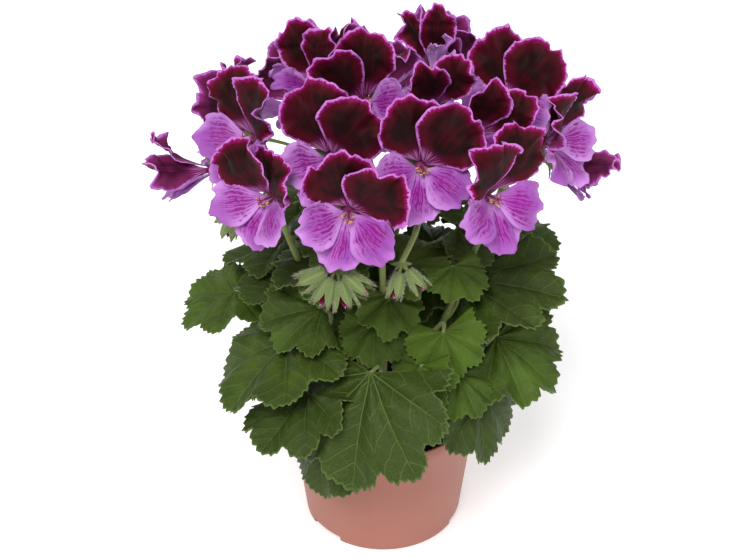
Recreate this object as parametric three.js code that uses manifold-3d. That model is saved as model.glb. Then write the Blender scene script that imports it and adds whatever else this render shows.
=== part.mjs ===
// A regal pelargonium in a plastic nursery pot, in millimetres, +Z up.
// The origin is the middle of the pot's underside, and the front of the plant faces -Y.
import * as THREE from "three";
import { mergeVertices } from "three/addons/utils/BufferGeometryUtils.js";
import Module from "manifold-3d";

const wasm = await Module();
wasm.setup();

// Driving dimensions
const CLEARANCE = 0.35;
const BLADE = 0.8;

const POT = {
  baseRadius: 50,
  rimRadius: 60,
  height: 86,
  wall: 1.6,
  floor: 2.2,
  rimBand: 9,
  rimStep: 1.2,
  edgeBevel: 1.5,
  sides: 32,
  notch: { height: 4.5, depth: 4, width: 25, azimuths: [-137.5, -17.5, 102.5] },
};

const SOIL = { depthBelowRim: 11, mound: 5, crumb: 1.2, sides: 16, holeDepth: 34, holeSides: 6 };

const STEM = {
  woodyRadius: 3.4,
  peduncleRadius: 1.9,
  umbelRadius: 4,
  clusterRadius: 1.5,
  clusterHubRadius: 2.4,
  pedicelRadius: 1.15,
  petioleRadius: 1.3,
};

const UPPER_PETAL = { length: 44, width: 33, claw: 0.9, tipRound: 0.3, cup: 4, ruffle: 3.2 };
const LOWER_PETAL = { length: 32, width: 23, claw: 0.8, tipRound: 0.34, cup: 2.5, ruffle: 1.4 };
const PETAL_TURN = { upper: 28, lower: 116, lowerClosed: 122 };

// How far a petal's edge lifts and how much it frills: free, or laid over or under the next petal.
const EDGE = {
  free: { lift: 1, frill: 1 },
  over: { lift: 1.5, frill: 0.2 },
  under: { lift: -0.4, frill: 0.2 },
};
const CLAW_RADIUS = { over: 2.1, under: 3 };
const TUCK = { upperFront: 8, lowerMiddle: -5, lowerSide: 4 };

// The angle at which a petal leaves the receptacle, the angle at its tip, and the share of its width,
// in a closed flower and in an open one.
const PETAL_ANGLES = {
  upper: { closed: { rise: 80, spread: 62, width: 0.4 }, opened: { rise: 54, spread: -8 } },
  lower: { closed: { rise: 96, spread: 106, width: 0.1 }, opened: { rise: 50, spread: -8 } },
};
const FULL_WIDTH_AT = 0.9;

const HUB = { radius: 4.6, bottom: 0.5, top: 2.6, split: 0.6 };
const STYLE = { length: 9, width: 0.9 };
const CALYX = { tipRadius: 11, tipHeight: 2.5, valleyRadius: 3.6, dip: 1.7, depth: 6.5, sepals: 5 };
const BUD = { length: 17, radius: 3.6, stalkRadius: 1, sides: 4 };

// Leaf outline: lobes on both sides of the middle one, a fan angle apart, out to the sinus at the stalk.
const LEAF = { lobesEachSide: 3, lobeDepth: 0.2, basalShrink: 0.3, sag: 0.16, pleat: 0.05, sway: 0.06 };

const COLOURS = {
  pot: 0xb87868,
  soil: 0x2a1c14,
  green: 0x4f6b30,
  dark: 0x3d0a1c,
  pale: 0xc97fd0,
};

// Each shoot rises from the soil at foot, an azimuth on the crown's circle, through bend to its umbel.
const CROWN_RADIUS = 15;
const SHOOTS = [
  { name: "left", foot: 200, bend: [-34, -14, 150], umbel: [-66, -26, 258] },
  { name: "upper_left", foot: 155, bend: [-18, 2, 170], umbel: [-22, -8, 286] },
  { name: "front", foot: 270, bend: [0, -34, 150], umbel: [-2, -48, 262] },
  { name: "top", foot: 65, bend: [14, 6, 170], umbel: [30, -4, 286] },
  { name: "right", foot: -20, bend: [34, -14, 150], umbel: [68, -22, 258] },
  { name: "back_left", foot: 120, bend: [-26, 30, 150], umbel: [-48, 40, 244] },
  { name: "back", foot: 95, bend: [4, 34, 150], umbel: [6, 54, 246] },
  { name: "back_right", foot: 20, bend: [32, 24, 150], umbel: [62, 32, 244] },
];

// Each open flower: its shoot, the place of its receptacle, the way it faces (azimuth and elevation),
// its roll, how far it has opened, its scale, and the side (-1 or 1) of the upper petal that lies in front.
const BLOOMS = [
  ["left", [-98, -16, 264], 192, -5, -7, 0.36, 0.9, 1],
  ["left", [-71, -30, 292], 222, 34, -3, 0.74, 0.9, 1],
  ["left", [-60, -61, 275], -132, 14, -4, 0.92, 0.92, -1],
  ["upper_left", [-36, -16, 316], 240, 50, 5, 0.56, 0.9, 1],
  ["upper_left", [-10, -28, 315], -95, 34, 30, 0.8, 0.95, -1],
  ["front", [-29, -61, 299], -92, 32, -10, 0.92, 1, 1],
  ["front", [-19, -90, 285], -90, 14, -15, 0.92, 1, 1],
  ["front", [19, -66, 297], -82, 28, -14, 0.94, 1, 1],
  ["top", [27, -2, 319], -67, 72, 14, 0.3, 0.88, 1],
  ["top", [28, -32, 314], -90, 34, -2, 0.5, 0.85, -1],
  ["top", [50, -40, 301], -76, 40, -40, 0.52, 0.88, -1],
  ["right", [68, -8, 299], -80, 52, -22, 0.85, 1, 1],
  ["right", [54, -68, 280], -52, 18, -4, 1, 1, -1],
  ["right", [90, -12, 280], -34, 20, 6, 0.86, 0.95, -1],
  ["right", [98, 4, 256], -8, -22, 0, 0.38, 0.85, 1],
  ["back_left", [-80, 26, 264], 160, 20, 10, 0.9, 0.95, 1],
  ["back_left", [-50, 66, 258], 122, 20, -12, 1, 1, -1],
  ["back_left", [-36, 28, 296], 130, 55, 0, 0.9, 0.9, 1],
  ["back", [-2, 84, 248], 94, 14, 8, 1, 1, 1],
  ["back", [0, 50, 272], 94, 48, -14, 0.85, 0.9, -1],
  ["back", [36, 66, 274], 68, 30, 10, 0.95, 1, 1],
  ["back_right", [78, 48, 254], 42, 18, 0, 1, 1, -1],
  ["back_right", [74, 20, 284], 20, 52, -15, 0.9, 0.9, 1],
  ["back_right", [36, 28, 294], 66, 60, 10, 0.85, 0.9, 1],
];

// Each young cluster of buds hangs from its shoot's umbel on a bowed stalk: its shoot, bend and place.
const YOUNG_CLUSTERS = {
  left: ["left", [-78, -30, 258], [-84, -34, 250]],
  front_left: ["front", [-16, -74, 263], [-26, -98, 254]],
  front_right: ["front", [18, -76, 270], [9, -98, 256]],
  top: ["top", [44, 0, 296], [50, 2, 304]],
};

// Each closed bud: its cluster, the way it points (azimuth and elevation), its stalk and its scale.
const BUDS = [
  ["left", -150, -70, 4, 0.9],
  ["left", 165, -35, 4, 0.7],
  ["front_left", -165, -22, 6, 1],
  ["front_left", -125, -48, 7, 0.95],
  ["front_left", -70, -52, 8, 0.9],
  ["front_left", -30, -30, 6, 1],
  ["front_right", -110, -50, 5, 0.85],
  ["front_right", -40, -35, 5, 0.8],
  ["top", 20, 72, 5, 0.85],
  ["top", -60, 60, 5, 0.7],
];

// Each leaf: its shoot, the place where its stalk meets the blade, its reach from there to the tip,
// the azimuth that its tip points to, how far the tip droops, its roll to one side, and the angle
// from lobe to lobe.
const LEAVES = [
  ["front", [-8, -71, 161], 70, -112, 53, 12, 35],
  ["front", [-32, -56, 134], 34, -108, 48, 10, 36],
  ["front", [-35, -70, 104], 34, -118, 72, 7, 44],
  ["front", [34, -62, 183], 29, -62, 58, 34, 40],
  ["front", [2, -45, 196], 26, -88, 24, -12, 42],
  ["front", [-5, -49, 181], 27, -98, 46, 0, 38],
  ["front", [21, -68, 163], 28, -112, 62, 16, 42],
  ["left", [-57, -41, 162], 55, -136, 22, 13, 45],
  ["left", [-92, 17, 156], 38, -154, 14, 3, 47],
  ["left", [-36, -42, 186], 38, 184, 6, -24, 36],
  ["front", [-45, -64, 140], 46, -130, 18, 15, 36],
  ["left", [-30, -18, 208], 40, -150, 12, 0, 44],
  ["left", [-68, -6, 138], 44, 190, 54, 0, 38],
  ["right", [48, -18, 188], 60, -20, -12, 14, 30],
  ["right", [67, -32, 157], 48, -22, 28, 20, 34],
  ["right", [56, -53, 136], 46, -76, 56, -30, 40],
  ["right", [43, -62, 152], 28, -56, 36, 0, 34],
  ["right", [44, 0, 214], 32, -14, 8, 0, 42],
  ["right", [62, -4, 132], 40, -6, 64, 0, 40],
  ["top", [8, -27, 206], 34, 15, -12, 0, 42],
  ["top", [22, 16, 226], 34, 50, 0, 0, 44],
  ["upper_left", [-20, 10, 226], 34, 170, 0, 0, 44],
  ["back_left", [-58, 31, 188], 46, 150, 22, 0, 44],
  ["back_left", [-54, 43, 148], 42, 140, 50, 0, 40],
  ["back_left", [-44, 50, 134], 42, 132, 62, 0, 42],
  ["back_left", [-36, 32, 216], 38, 136, 10, 0, 42],
  ["back", [-30, 60, 176], 42, 118, 36, 0, 40],
  ["back", [26, 62, 164], 39, 70, 46, 0, 38],
  ["back", [-2, 50, 126], 40, 92, 66, 0, 40],
  ["back", [12, 46, 206], 38, 78, 12, 0, 42],
  ["back_right", [68, 36, 190], 46, 44, 16, 0, 42],
  ["back_right", [66, 29, 168], 34, 26, 38, 0, 36],
  ["back_right", [44, 50, 134], 42, 48, 62, 0, 42],
  ["upper_left", [-16, -19, 189], 31, -118, 45, 0, 35],
  ["upper_left", [-24, -24, 226], 28, -128, 26, 0, 38],
  ["right", [40, -37, 212], 25, -56, 24, 0, 38],
];

const radians = THREE.MathUtils.degToRad;
const lerp = THREE.MathUtils.lerp;
const EPSILON = 1e-4;

// Joins leave slivers thinner than this, which are smoothed away.
const SLIVER = 0.02;

// A closed geometry as a solid that can be joined and cut.
function solidOf(geometry) {
  const bare = new THREE.BufferGeometry();
  bare.setAttribute("position", geometry.getAttribute("position"));
  if (geometry.index) bare.setIndex(geometry.index);
  const merged = mergeVertices(bare, EPSILON);
  return new wasm.Manifold(
    new wasm.Mesh({
      numProp: 3,
      vertProperties: merged.attributes.position.array,
      triVerts: new Uint32Array(merged.index.array),
    }),
  );
}

function geometryOf(solid) {
  const mesh = solid.getMesh();
  const geometry = new THREE.BufferGeometry();
  geometry.setAttribute("position", new THREE.BufferAttribute(mesh.vertProperties, 3));
  geometry.setIndex(new THREE.BufferAttribute(mesh.triVerts, 1));
  return geometry;
}

function union(solids) {
  return wasm.Manifold.union(solids);
}

function largestBody(solid) {
  return solid.decompose().reduce((best, body) => (body.volume() > best.volume() ? body : best));
}

// The unit vector for an azimuth from +X towards +Y and an elevation above the horizon, in degrees.
function direction(azimuth, elevation) {
  const flat = Math.cos(radians(elevation));
  return new THREE.Vector3(
    Math.cos(radians(azimuth)) * flat,
    Math.sin(radians(azimuth)) * flat,
    Math.sin(radians(elevation)),
  );
}

// A frame at origin whose Z looks along forward and whose Y is upright, then rolled about Z.
function frameAt(origin, forward, roll) {
  const z = forward.clone().normalize();
  const upright = Math.abs(z.z) > 0.97 ? new THREE.Vector3(0, 1, 0) : new THREE.Vector3(0, 0, 1);
  const x = new THREE.Vector3().crossVectors(upright, z).normalize();
  const y = new THREE.Vector3().crossVectors(z, x);
  const frame = new THREE.Matrix4().makeBasis(x, y, z).setPosition(origin);
  return frame.multiply(new THREE.Matrix4().makeRotationZ(radians(roll)));
}

// Triangles between two rows of a sheet, which may hold different numbers of points.
function zipRows(first, firstCount, second, secondCount) {
  const faces = [];
  let a = 0;
  let b = 0;
  while (a < firstCount - 1 || b < secondCount - 1) {
    const nextA = firstCount > 1 ? (a + 1) / (firstCount - 1) : 2;
    const nextB = (b + 1) / (secondCount - 1);
    if (b < secondCount - 1 && (nextB <= nextA || a === firstCount - 1)) {
      faces.push([first + a, second + b + 1, second + b]);
      b += 1;
    } else {
      faces.push([first + a, first + a + 1, second + b]);
      a += 1;
    }
  }
  return faces;
}

// A thin blade: surface(u, v) gives its middle, rows are lists of [u, v], and both faces split alike.
// It comes as its points, its faces and the two faces that close its first row.
function bladeSheet(surface, rows, thickness) {
  const step = 0.01;
  const list = rows.flat();
  const middle = list.map(([u, v]) => surface(u, v));
  const normals = list.map(([u, v], i) => {
    const alongU = surface(u + step, v).sub(middle[i]);
    const alongV = surface(u, v + step).sub(surface(u, v - step));
    return alongV.cross(alongU).normalize();
  });
  const count = list.length;
  const points = [1, -1].flatMap((side) =>
    middle.map((point, i) => point.clone().addScaledVector(normals[i], (side * thickness) / 2)),
  );
  const starts = rows.map((row, i) => rows.slice(0, i).flat().length);
  const upper = rows
    .slice(1)
    .flatMap((row, i) => zipRows(starts[i], rows[i].length, starts[i + 1], row.length));
  const last = rows.length - 1;
  const ends = rows.map((row, i) => starts[i] + row.length - 1);
  const tipEdge = rows[last].slice(1).map((point, i) => ends[last] - 1 - i);
  const rim = [...ends, ...tipEdge, ...starts.slice(0, last).reverse()];
  const faces = [];
  const quad = (from, to) => [[to, from, count + to], [from, count + from, count + to]];
  upper.forEach(([a, b, c]) => faces.push([a, b, c], [count + a, count + c, count + b]));
  rim.slice(1).forEach((to, i) => faces.push(...quad(rim[i], to)));
  const cap = quad(0, ends[0]);
  return facingOut({ points, faces, cap });
}

// The signed volume inside a closed list of faces.
function volumeOf(points, faces) {
  return faces.reduce((sum, [a, b, c]) => sum + points[a].dot(points[b].clone().cross(points[c])) / 6, 0);
}

function flipped(faces) {
  return faces.map(([a, b, c]) => [a, c, b]);
}

function facingOut(sheet) {
  if (volumeOf(sheet.points, [...sheet.faces, ...sheet.cap]) > 0) return sheet;
  return { points: sheet.points, faces: flipped(sheet.faces), cap: flipped(sheet.cap) };
}

function solidFrom(points, faces) {
  const geometry = new THREE.BufferGeometry().setFromPoints(points);
  geometry.setIndex(faces.flat());
  return solidOf(geometry);
}

function bladeSolid(surface, rows, thickness) {
  const { points, faces, cap } = bladeSheet(surface, rows, thickness);
  return solidFrom(points, [...faces, ...cap]);
}

// A round stalk along a smooth curve through the points.
function stalk(points, radius, sides, steps) {
  const section = new THREE.Shape();
  for (let i = 0; i < sides; i += 1) {
    const turn = (i / sides) * Math.PI * 2;
    const place = [Math.cos(turn) * radius, Math.sin(turn) * radius];
    if (i === 0) section.moveTo(...place);
    else section.lineTo(...place);
  }
  const path = new THREE.CatmullRomCurve3(points);
  return solidOf(new THREE.ExtrudeGeometry(section, { steps, extrudePath: path, bevelEnabled: false }));
}

// A solid of revolution from a closed profile of [radius, height] points.
function turned(profile, sides) {
  const points = profile.map(([radius, height]) => new THREE.Vector2(radius, height));
  return solidOf(new THREE.LatheGeometry(points, sides).rotateX(Math.PI / 2));
}

// Pot: a tapered cup with a rim band, and three drainage notches through its lower edge.
function makePot() {
  const taper = (POT.rimRadius - POT.rimStep - POT.baseRadius) / (POT.height - POT.rimBand);
  const outer = (z) => POT.baseRadius + taper * z;
  const band = POT.height - POT.rimBand;
  const profile = [
    [0, 0],
    [POT.baseRadius - POT.edgeBevel, 0],
    [outer(POT.edgeBevel), POT.edgeBevel],
    [outer(band), band],
    [POT.rimRadius, band],
    [POT.rimRadius, POT.height],
    [POT.rimRadius - POT.wall, POT.height],
    [outer(POT.floor) - POT.wall, POT.floor],
    [0, POT.floor],
  ];
  let pot = turned(profile, POT.sides);
  POT.notch.azimuths.forEach((azimuth) => {
    const cutter = new THREE.BoxGeometry(POT.notch.depth * 2, POT.notch.width, POT.notch.height * 2);
    cutter.translate(POT.baseRadius, 0, 0);
    cutter.rotateZ(radians(azimuth));
    pot = pot.subtract(solidOf(cutter));
  });
  return pot;
}

// Inner radius of the pot at a height above its floor.
function potInside(z) {
  const low = POT.baseRadius + (POT.rimRadius - POT.rimStep - POT.baseRadius) * (POT.floor / POT.height);
  const share = (z - POT.floor) / (POT.height - POT.floor);
  return low - POT.wall + (POT.rimRadius - low) * share;
}

// Soil: a mounded, crumbly plug with a plain hole for each shoot.
function makeSoil() {
  const top = POT.height - SOIL.depthBelowRim;
  const bottom = POT.floor + CLEARANCE;
  const flat = Math.cos(Math.PI / POT.sides);
  const radiusAt = (z) => (potInside(z) - CLEARANCE) * flat - CLEARANCE;
  const profile = [
    [0, bottom],
    [radiusAt(bottom), bottom],
    [radiusAt(top), top],
    [radiusAt(top) * 0.7, top + SOIL.mound * 0.5],
    [radiusAt(top) * 0.42, top + SOIL.mound * 0.8],
    [0, top + SOIL.mound],
  ];
  const points = profile.map(([radius, height]) => new THREE.Vector2(radius, height));
  const geometry = new THREE.LatheGeometry(points, SOIL.sides).rotateX(Math.PI / 2);
  const position = geometry.getAttribute("position");
  const edge = radiusAt(top) - 1;
  for (let i = 0; i < position.count; i += 1) {
    const [x, y, z] = [position.getX(i), position.getY(i), position.getZ(i)];
    const inTop = z > top && Math.hypot(x, y) < edge && Math.hypot(x, y) > 1;
    if (inTop) position.setZ(i, z + SOIL.crumb * Math.sin(x * 0.9 + y * 0.4) * Math.cos(y * 0.8 - x * 0.3));
  }
  let soil = solidOf(geometry);
  const holeRadius = (STEM.woodyRadius + CLEARANCE * 2) / Math.cos(Math.PI / SOIL.holeSides);
  SHOOTS.forEach((shoot) => {
    const hole = new THREE.CylinderGeometry(holeRadius, holeRadius, SOIL.holeDepth * 2, SOIL.holeSides);
    const foot = footOf(shoot);
    hole.rotateX(Math.PI / 2);
    hole.translate(foot.x, foot.y, POT.height);
    soil = soil.subtract(solidOf(hole));
  });
  return soil;
}

// The foot of a shoot, a little above the bottom of its hole in the soil.
function footOf(shoot) {
  const ground = direction(shoot.foot, 0).multiplyScalar(CROWN_RADIUS);
  return ground.setZ(POT.height - SOIL.holeDepth + CLEARANCE);
}

// The line of a shoot from its foot to its umbel.
function shootLine(shoot) {
  const foot = footOf(shoot);
  return new THREE.CatmullRomCurve3([
    foot,
    foot.clone().setZ(POT.height - 14),
    foot.clone().setZ(POT.height - 4),
    new THREE.Vector3(...shoot.bend),
    new THREE.Vector3(...shoot.umbel),
  ]);
}

// A petal in its flower's frame. s runs from the claw to the tip and t across from -1 to 1.
// It leaves the receptacle at the angle rise, and turns evenly to the angle spread at its tip.
// edges tells how its two edges lift and frill.
function petalSurface(kind, turn, [rise, spread, widthShare], wave, edges, clawRadius) {
  const start = radians(rise);
  const bend = radians(spread) - start;
  const cosTurn = Math.cos(radians(turn));
  const sinTurn = Math.sin(radians(turn));
  return (s, t) => {
    const swell = Math.sin((Math.PI / 2) * Math.min(1, s / 0.72)) ** 1.8;
    const across = t * (kind.claw + ((kind.width * widthShare) / 2 - kind.claw) * swell);
    const along = kind.length * s * (1 - kind.tipRound * Math.abs(t) ** 2.2 * s);
    const angle = start + (bend * along) / kind.length;
    const radius = clawRadius + (kind.length / bend) * (Math.sin(angle) - Math.sin(start));
    const height = HUB.top - (kind.length / bend) * (Math.cos(angle) - Math.cos(start));
    const edge = edges[t < 0 ? 0 : 1];
    const frill = edge.frill * kind.ruffle * s ** 2.5 * Math.abs(t) * Math.sin(2.6 * Math.PI * t + wave);
    const lift = widthShare * (edge.lift * kind.cup * s * t * t + frill);
    const out = radius - lift * Math.sin(angle);
    const up = height + lift * Math.cos(angle);
    return new THREE.Vector3(out * sinTurn + across * cosTurn, out * cosTurn - across * sinTurn, up);
  };
}

const PETAL_ROWS = {
  upper: [
    [0, [-1, 1]],
    [0.4, [-1, 0, 1]],
    [0.76, [-1, -0.33, 0.33, 1]],
    [1, [-1, -0.33, 0.33, 1]],
  ],
  lower: [
    [0, [-1, 1]],
    [0.42, [-1, 1]],
    [0.78, [-1, 0, 1]],
    [1, [-1, 0, 1]],
  ],
};

function rowPoints(rows) {
  return rows.map(([s, across]) => across.map((t) => [s, t]));
}

// The part of the receptacle cap that the petals of one colour share: a hexagon cut across by a gap.
function hubOutline(side) {
  const edge = HUB.split + (side * CLEARANCE) / 2;
  const half = HUB.radius * Math.sin(Math.PI / 3);
  const reach = HUB.radius - edge / Math.tan(Math.PI / 3);
  const lower = [
    [reach, edge],
    [-reach, edge],
    [-HUB.radius, 0],
    [-HUB.radius / 2, -half],
    [HUB.radius / 2, -half],
    [HUB.radius, 0],
  ];
  const upper = [
    [-reach, edge],
    [reach, edge],
    [HUB.radius / 2, half],
    [-HUB.radius / 2, half],
  ];
  return (side > 0 ? upper : lower).map(([x, y]) => new THREE.Vector2(x, y));
}

// A cap with sheets growing out of its top, as one closed body.
// Each sheet's open foot is a hole in the cap's top.
function capWithSheets(outline, sheets) {
  const level = (z) => outline.map(({ x, y }) => new THREE.Vector3(x, y, z));
  const points = [...level(HUB.bottom), ...level(HUB.top)];
  const count = outline.length;
  const faces = [];
  const holes = [];
  const holeIndices = [];
  sheets.forEach((sheet) => {
    const offset = points.length;
    const loop = [sheet.cap[0][0], sheet.cap[0][1], sheet.cap[1][1], sheet.cap[0][2]];
    const feet = new Set(loop);
    sheet.points.forEach((point, i) => points.push(feet.has(i) ? point.clone().setZ(HUB.top) : point));
    sheet.faces.forEach((face) => faces.push(face.map((i) => i + offset)));
    holes.push(loop.map((i) => new THREE.Vector2(sheet.points[i].x, sheet.points[i].y)));
    holeIndices.push(...loop.map((i) => i + offset));
  });
  const top = [...outline.map((point, i) => count + i), ...holeIndices];
  const topFaces = THREE.ShapeUtils.triangulateShape(outline.slice(), holes);
  const bottomFaces = THREE.ShapeUtils.triangulateShape(outline.slice(), []);
  topFaces.forEach((face) => faces.push(face.map((i) => top[i])));
  faces.push(...flipped(bottomFaces));
  outline.forEach((point, i) => {
    const next = (i + 1) % count;
    faces.push([i, next, count + next], [i, count + next, count + i]);
  });
  return solidFrom(points, faces);
}

// Closed petals stand up along the flower's axis, narrow and rolled, and open ones flare and turn back.
function petalAngles(open, lower, tuck) {
  const { closed, opened } = PETAL_ANGLES[lower ? "lower" : "upper"];
  const rise = lerp(closed.rise, opened.rise, open);
  const spread = lerp(closed.spread, opened.spread, open);
  const widthShare = lerp(closed.width, 1, Math.min(1, open / FULL_WIDTH_AT));
  return [rise + tuck, spread + tuck, widthShare];
}

function bloomFrame(bloom) {
  const [, at, azimuth, elevation, roll] = bloom;
  return frameAt(new THREE.Vector3(...at), direction(azimuth, elevation), roll);
}

function makeUpperPetals(bloom, index) {
  const [, , , , , open, scale, front] = bloom;
  const petals = [-1, 1].map((side) => {
    const over = side === front;
    const inner = over ? EDGE.over : EDGE.under;
    const edges = side < 0 ? [EDGE.free, inner] : [inner, EDGE.free];
    const angles = petalAngles(open, false, over ? TUCK.upperFront : 0);
    const claw = over ? CLAW_RADIUS.over : CLAW_RADIUS.under;
    const turn = side * PETAL_TURN.upper;
    const surface = petalSurface(UPPER_PETAL, turn, angles, index * 1.7 + side, edges, claw);
    return bladeSheet(surface, rowPoints(PETAL_ROWS.upper), BLADE / scale);
  });
  return placed(capWithSheets(hubOutline(1), petals), bloomFrame(bloom), scale);
}

// The style stands up from the lower part of the cap, square in section.
function styleSheet() {
  const corners = [[-1, -1], [1, -1], [1, 1], [-1, 1]];
  const points = [1, 0.7].flatMap((share, i) =>
    corners.map(([x, y]) => {
      const half = (STYLE.width / 2) * share;
      return new THREE.Vector3(x * half, y * half - HUB.split / 2, HUB.top + i * STYLE.length);
    }),
  );
  const faces = [[4, 5, 6], [4, 6, 7]];
  corners.forEach((corner, i) => {
    const next = (i + 1) % 4;
    faces.push([i, next, 4 + next], [i, 4 + next, 4 + i]);
  });
  return { points, faces, cap: [[0, 3, 1], [3, 2, 1]] };
}

function makeLowerPetals(bloom, index) {
  const [, , , , , open, scale] = bloom;
  const petals = [-1, 0, 1].map((side) => {
    const middle = side === 0;
    const sideEdges = side < 0 ? [EDGE.over, EDGE.free] : [EDGE.free, EDGE.over];
    const edges = middle ? [EDGE.under, EDGE.under] : sideEdges;
    const angles = petalAngles(open, true, middle ? TUCK.lowerMiddle : TUCK.lowerSide);
    const claw = middle ? CLAW_RADIUS.under : CLAW_RADIUS.over;
    const turn = middle ? 180 : side * lerp(PETAL_TURN.lowerClosed, PETAL_TURN.lower, open);
    const surface = petalSurface(LOWER_PETAL, turn, angles, index * 2.3 + side * 1.9, edges, claw);
    return bladeSheet(surface, rowPoints(PETAL_ROWS.lower), BLADE / scale);
  });
  return placed(capWithSheets(hubOutline(-1), [...petals, styleSheet()]), bloomFrame(bloom), scale);
}

function placed(solid, frame, scale) {
  const matrix = frame.clone().multiply(new THREE.Matrix4().makeScale(scale, scale, scale));
  return solid.transform(matrix.elements.slice());
}

// Calyx: five pointed sepals round the receptacle, closing to the flower stalk behind it.
function calyx() {
  const count = CALYX.sepals * 2;
  const ring = [];
  for (let i = 0; i < count; i += 1) {
    const turn = (i / count) * Math.PI * 2 + Math.PI / 2;
    const tip = i % 2 === 0;
    const radius = tip ? CALYX.tipRadius : CALYX.valleyRadius;
    ring.push([Math.cos(turn) * radius, Math.sin(turn) * radius, tip ? CALYX.tipHeight : -0.4]);
  }
  const places = [...ring, [0, 0, -CALYX.dip], [0, 0, -CALYX.depth]];
  const points = places.map((place) => new THREE.Vector3(...place));
  const faces = [];
  ring.forEach((point, i) => {
    const next = (i + 1) % count;
    faces.push(count, i, next, count + 1, next, i);
  });
  return solidFrom(points, faces);
}

// A closed bud: a pointed spindle along +Z, on a stalk of its own behind it.
function budSolid(stalkLength) {
  const profile = [
    [0, -stalkLength],
    [BUD.stalkRadius, -stalkLength],
    [BUD.stalkRadius, -0.5],
    [BUD.radius * 0.7, 1],
    [BUD.radius, BUD.length * 0.35],
    [BUD.radius * 0.6, BUD.length * 0.75],
    [0, BUD.length],
  ];
  return turned(profile, BUD.sides);
}

// A leaf blade in its own frame: its stalk meets it at the origin, its tip lies along +Y and its face
// along +Z. share runs from the stalk to the edge, and lobe counts lobes either side of the middle one.
function leafSurface(reach, fan, wave) {
  return (share, lobe) => {
    const valley = Math.sin(Math.PI * lobe) ** 2;
    const basal = 1 - LEAF.basalShrink * (Math.abs(lobe) / LEAF.lobesEachSide) ** 1.5;
    const radius = reach * basal * (1 - LEAF.lobeDepth * valley) * share;
    const turn = radians(lobe * fan);
    const sway = LEAF.sway * share ** 3 * Math.sin(lobe * 1.9 + wave);
    const height = reach * (sway - LEAF.sag * share ** 2 + LEAF.pleat * share * valley);
    return new THREE.Vector3(radius * Math.sin(turn), radius * Math.cos(turn), height);
  };
}

function leafRows() {
  const edge = LEAF.lobesEachSide;
  const blunt = [-0.22, 0.22];
  const tips = [-2, 2, ...[-1, 0, 1].flatMap((lobe) => blunt.map((side) => lobe + side))];
  const valleys = [-2.5, -1.5, -0.5, 0.5, 1.5, 2.5];
  const outer = [-edge, ...tips, ...valleys, edge].sort((a, b) => a - b).map((lobe) => [1, lobe]);
  const inner = [-1, -0.5, 0, 0.5, 1].map((share) => [0.5, share * edge]);
  const root = [-1, 1].map((side) => [0.06, side * edge]);
  return [root, inner, outer];
}

function leafFrame(leaf) {
  const [, at, , azimuth, droop, roll] = leaf;
  const tip = direction(azimuth, -droop);
  const side = new THREE.Vector3().crossVectors(tip, new THREE.Vector3(0, 0, 1)).normalize();
  const face = new THREE.Vector3().crossVectors(side, tip);
  const frame = new THREE.Matrix4().makeBasis(side, tip, face).setPosition(new THREE.Vector3(...at));
  return frame.multiply(new THREE.Matrix4().makeRotationY(radians(roll)));
}

// The stalk leaves the shoot some way below the leaf, and meets the blade from below.
function petiole(line, leaf) {
  const at = new THREE.Vector3(...leaf[1]);
  const frame = leafFrame(leaf);
  const below = new THREE.Vector3(0, -4, -8).applyMatrix4(frame);
  const flat = Math.hypot(at.x, at.y);
  const height = Math.max(POT.height + 4, at.z - 0.55 * flat);
  let from = line.getPoint(0);
  for (let i = 0; i <= 60; i += 1) {
    const point = line.getPoint(i / 60);
    if (point.z <= height) from = point;
  }
  const middle = from.clone().lerp(below, 0.5).add(new THREE.Vector3(0, 0, -0.08 * flat));
  const navel = new THREE.Vector3(0.2, 1.2, 0.9).applyMatrix4(frame);
  return stalk([from, middle, below, navel], STEM.petioleRadius, 3, 3);
}

// A flower stalk from the umbel to the back of a flower or bud.
function pedicel(hub, end, facing) {
  const behind = end.clone().addScaledVector(facing, -8);
  const middle = hub.clone().lerp(behind, 0.6);
  middle.z += 2;
  return stalk([hub, middle, end], STEM.pedicelRadius, 3, 2);
}

function leafBlade(leaf) {
  const surface = leafSurface(leaf[2], leaf[6], LEAVES.indexOf(leaf) * 1.3);
  return bladeSolid(surface, leafRows(), BLADE).transform(leafFrame(leaf).elements.slice());
}

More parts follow.
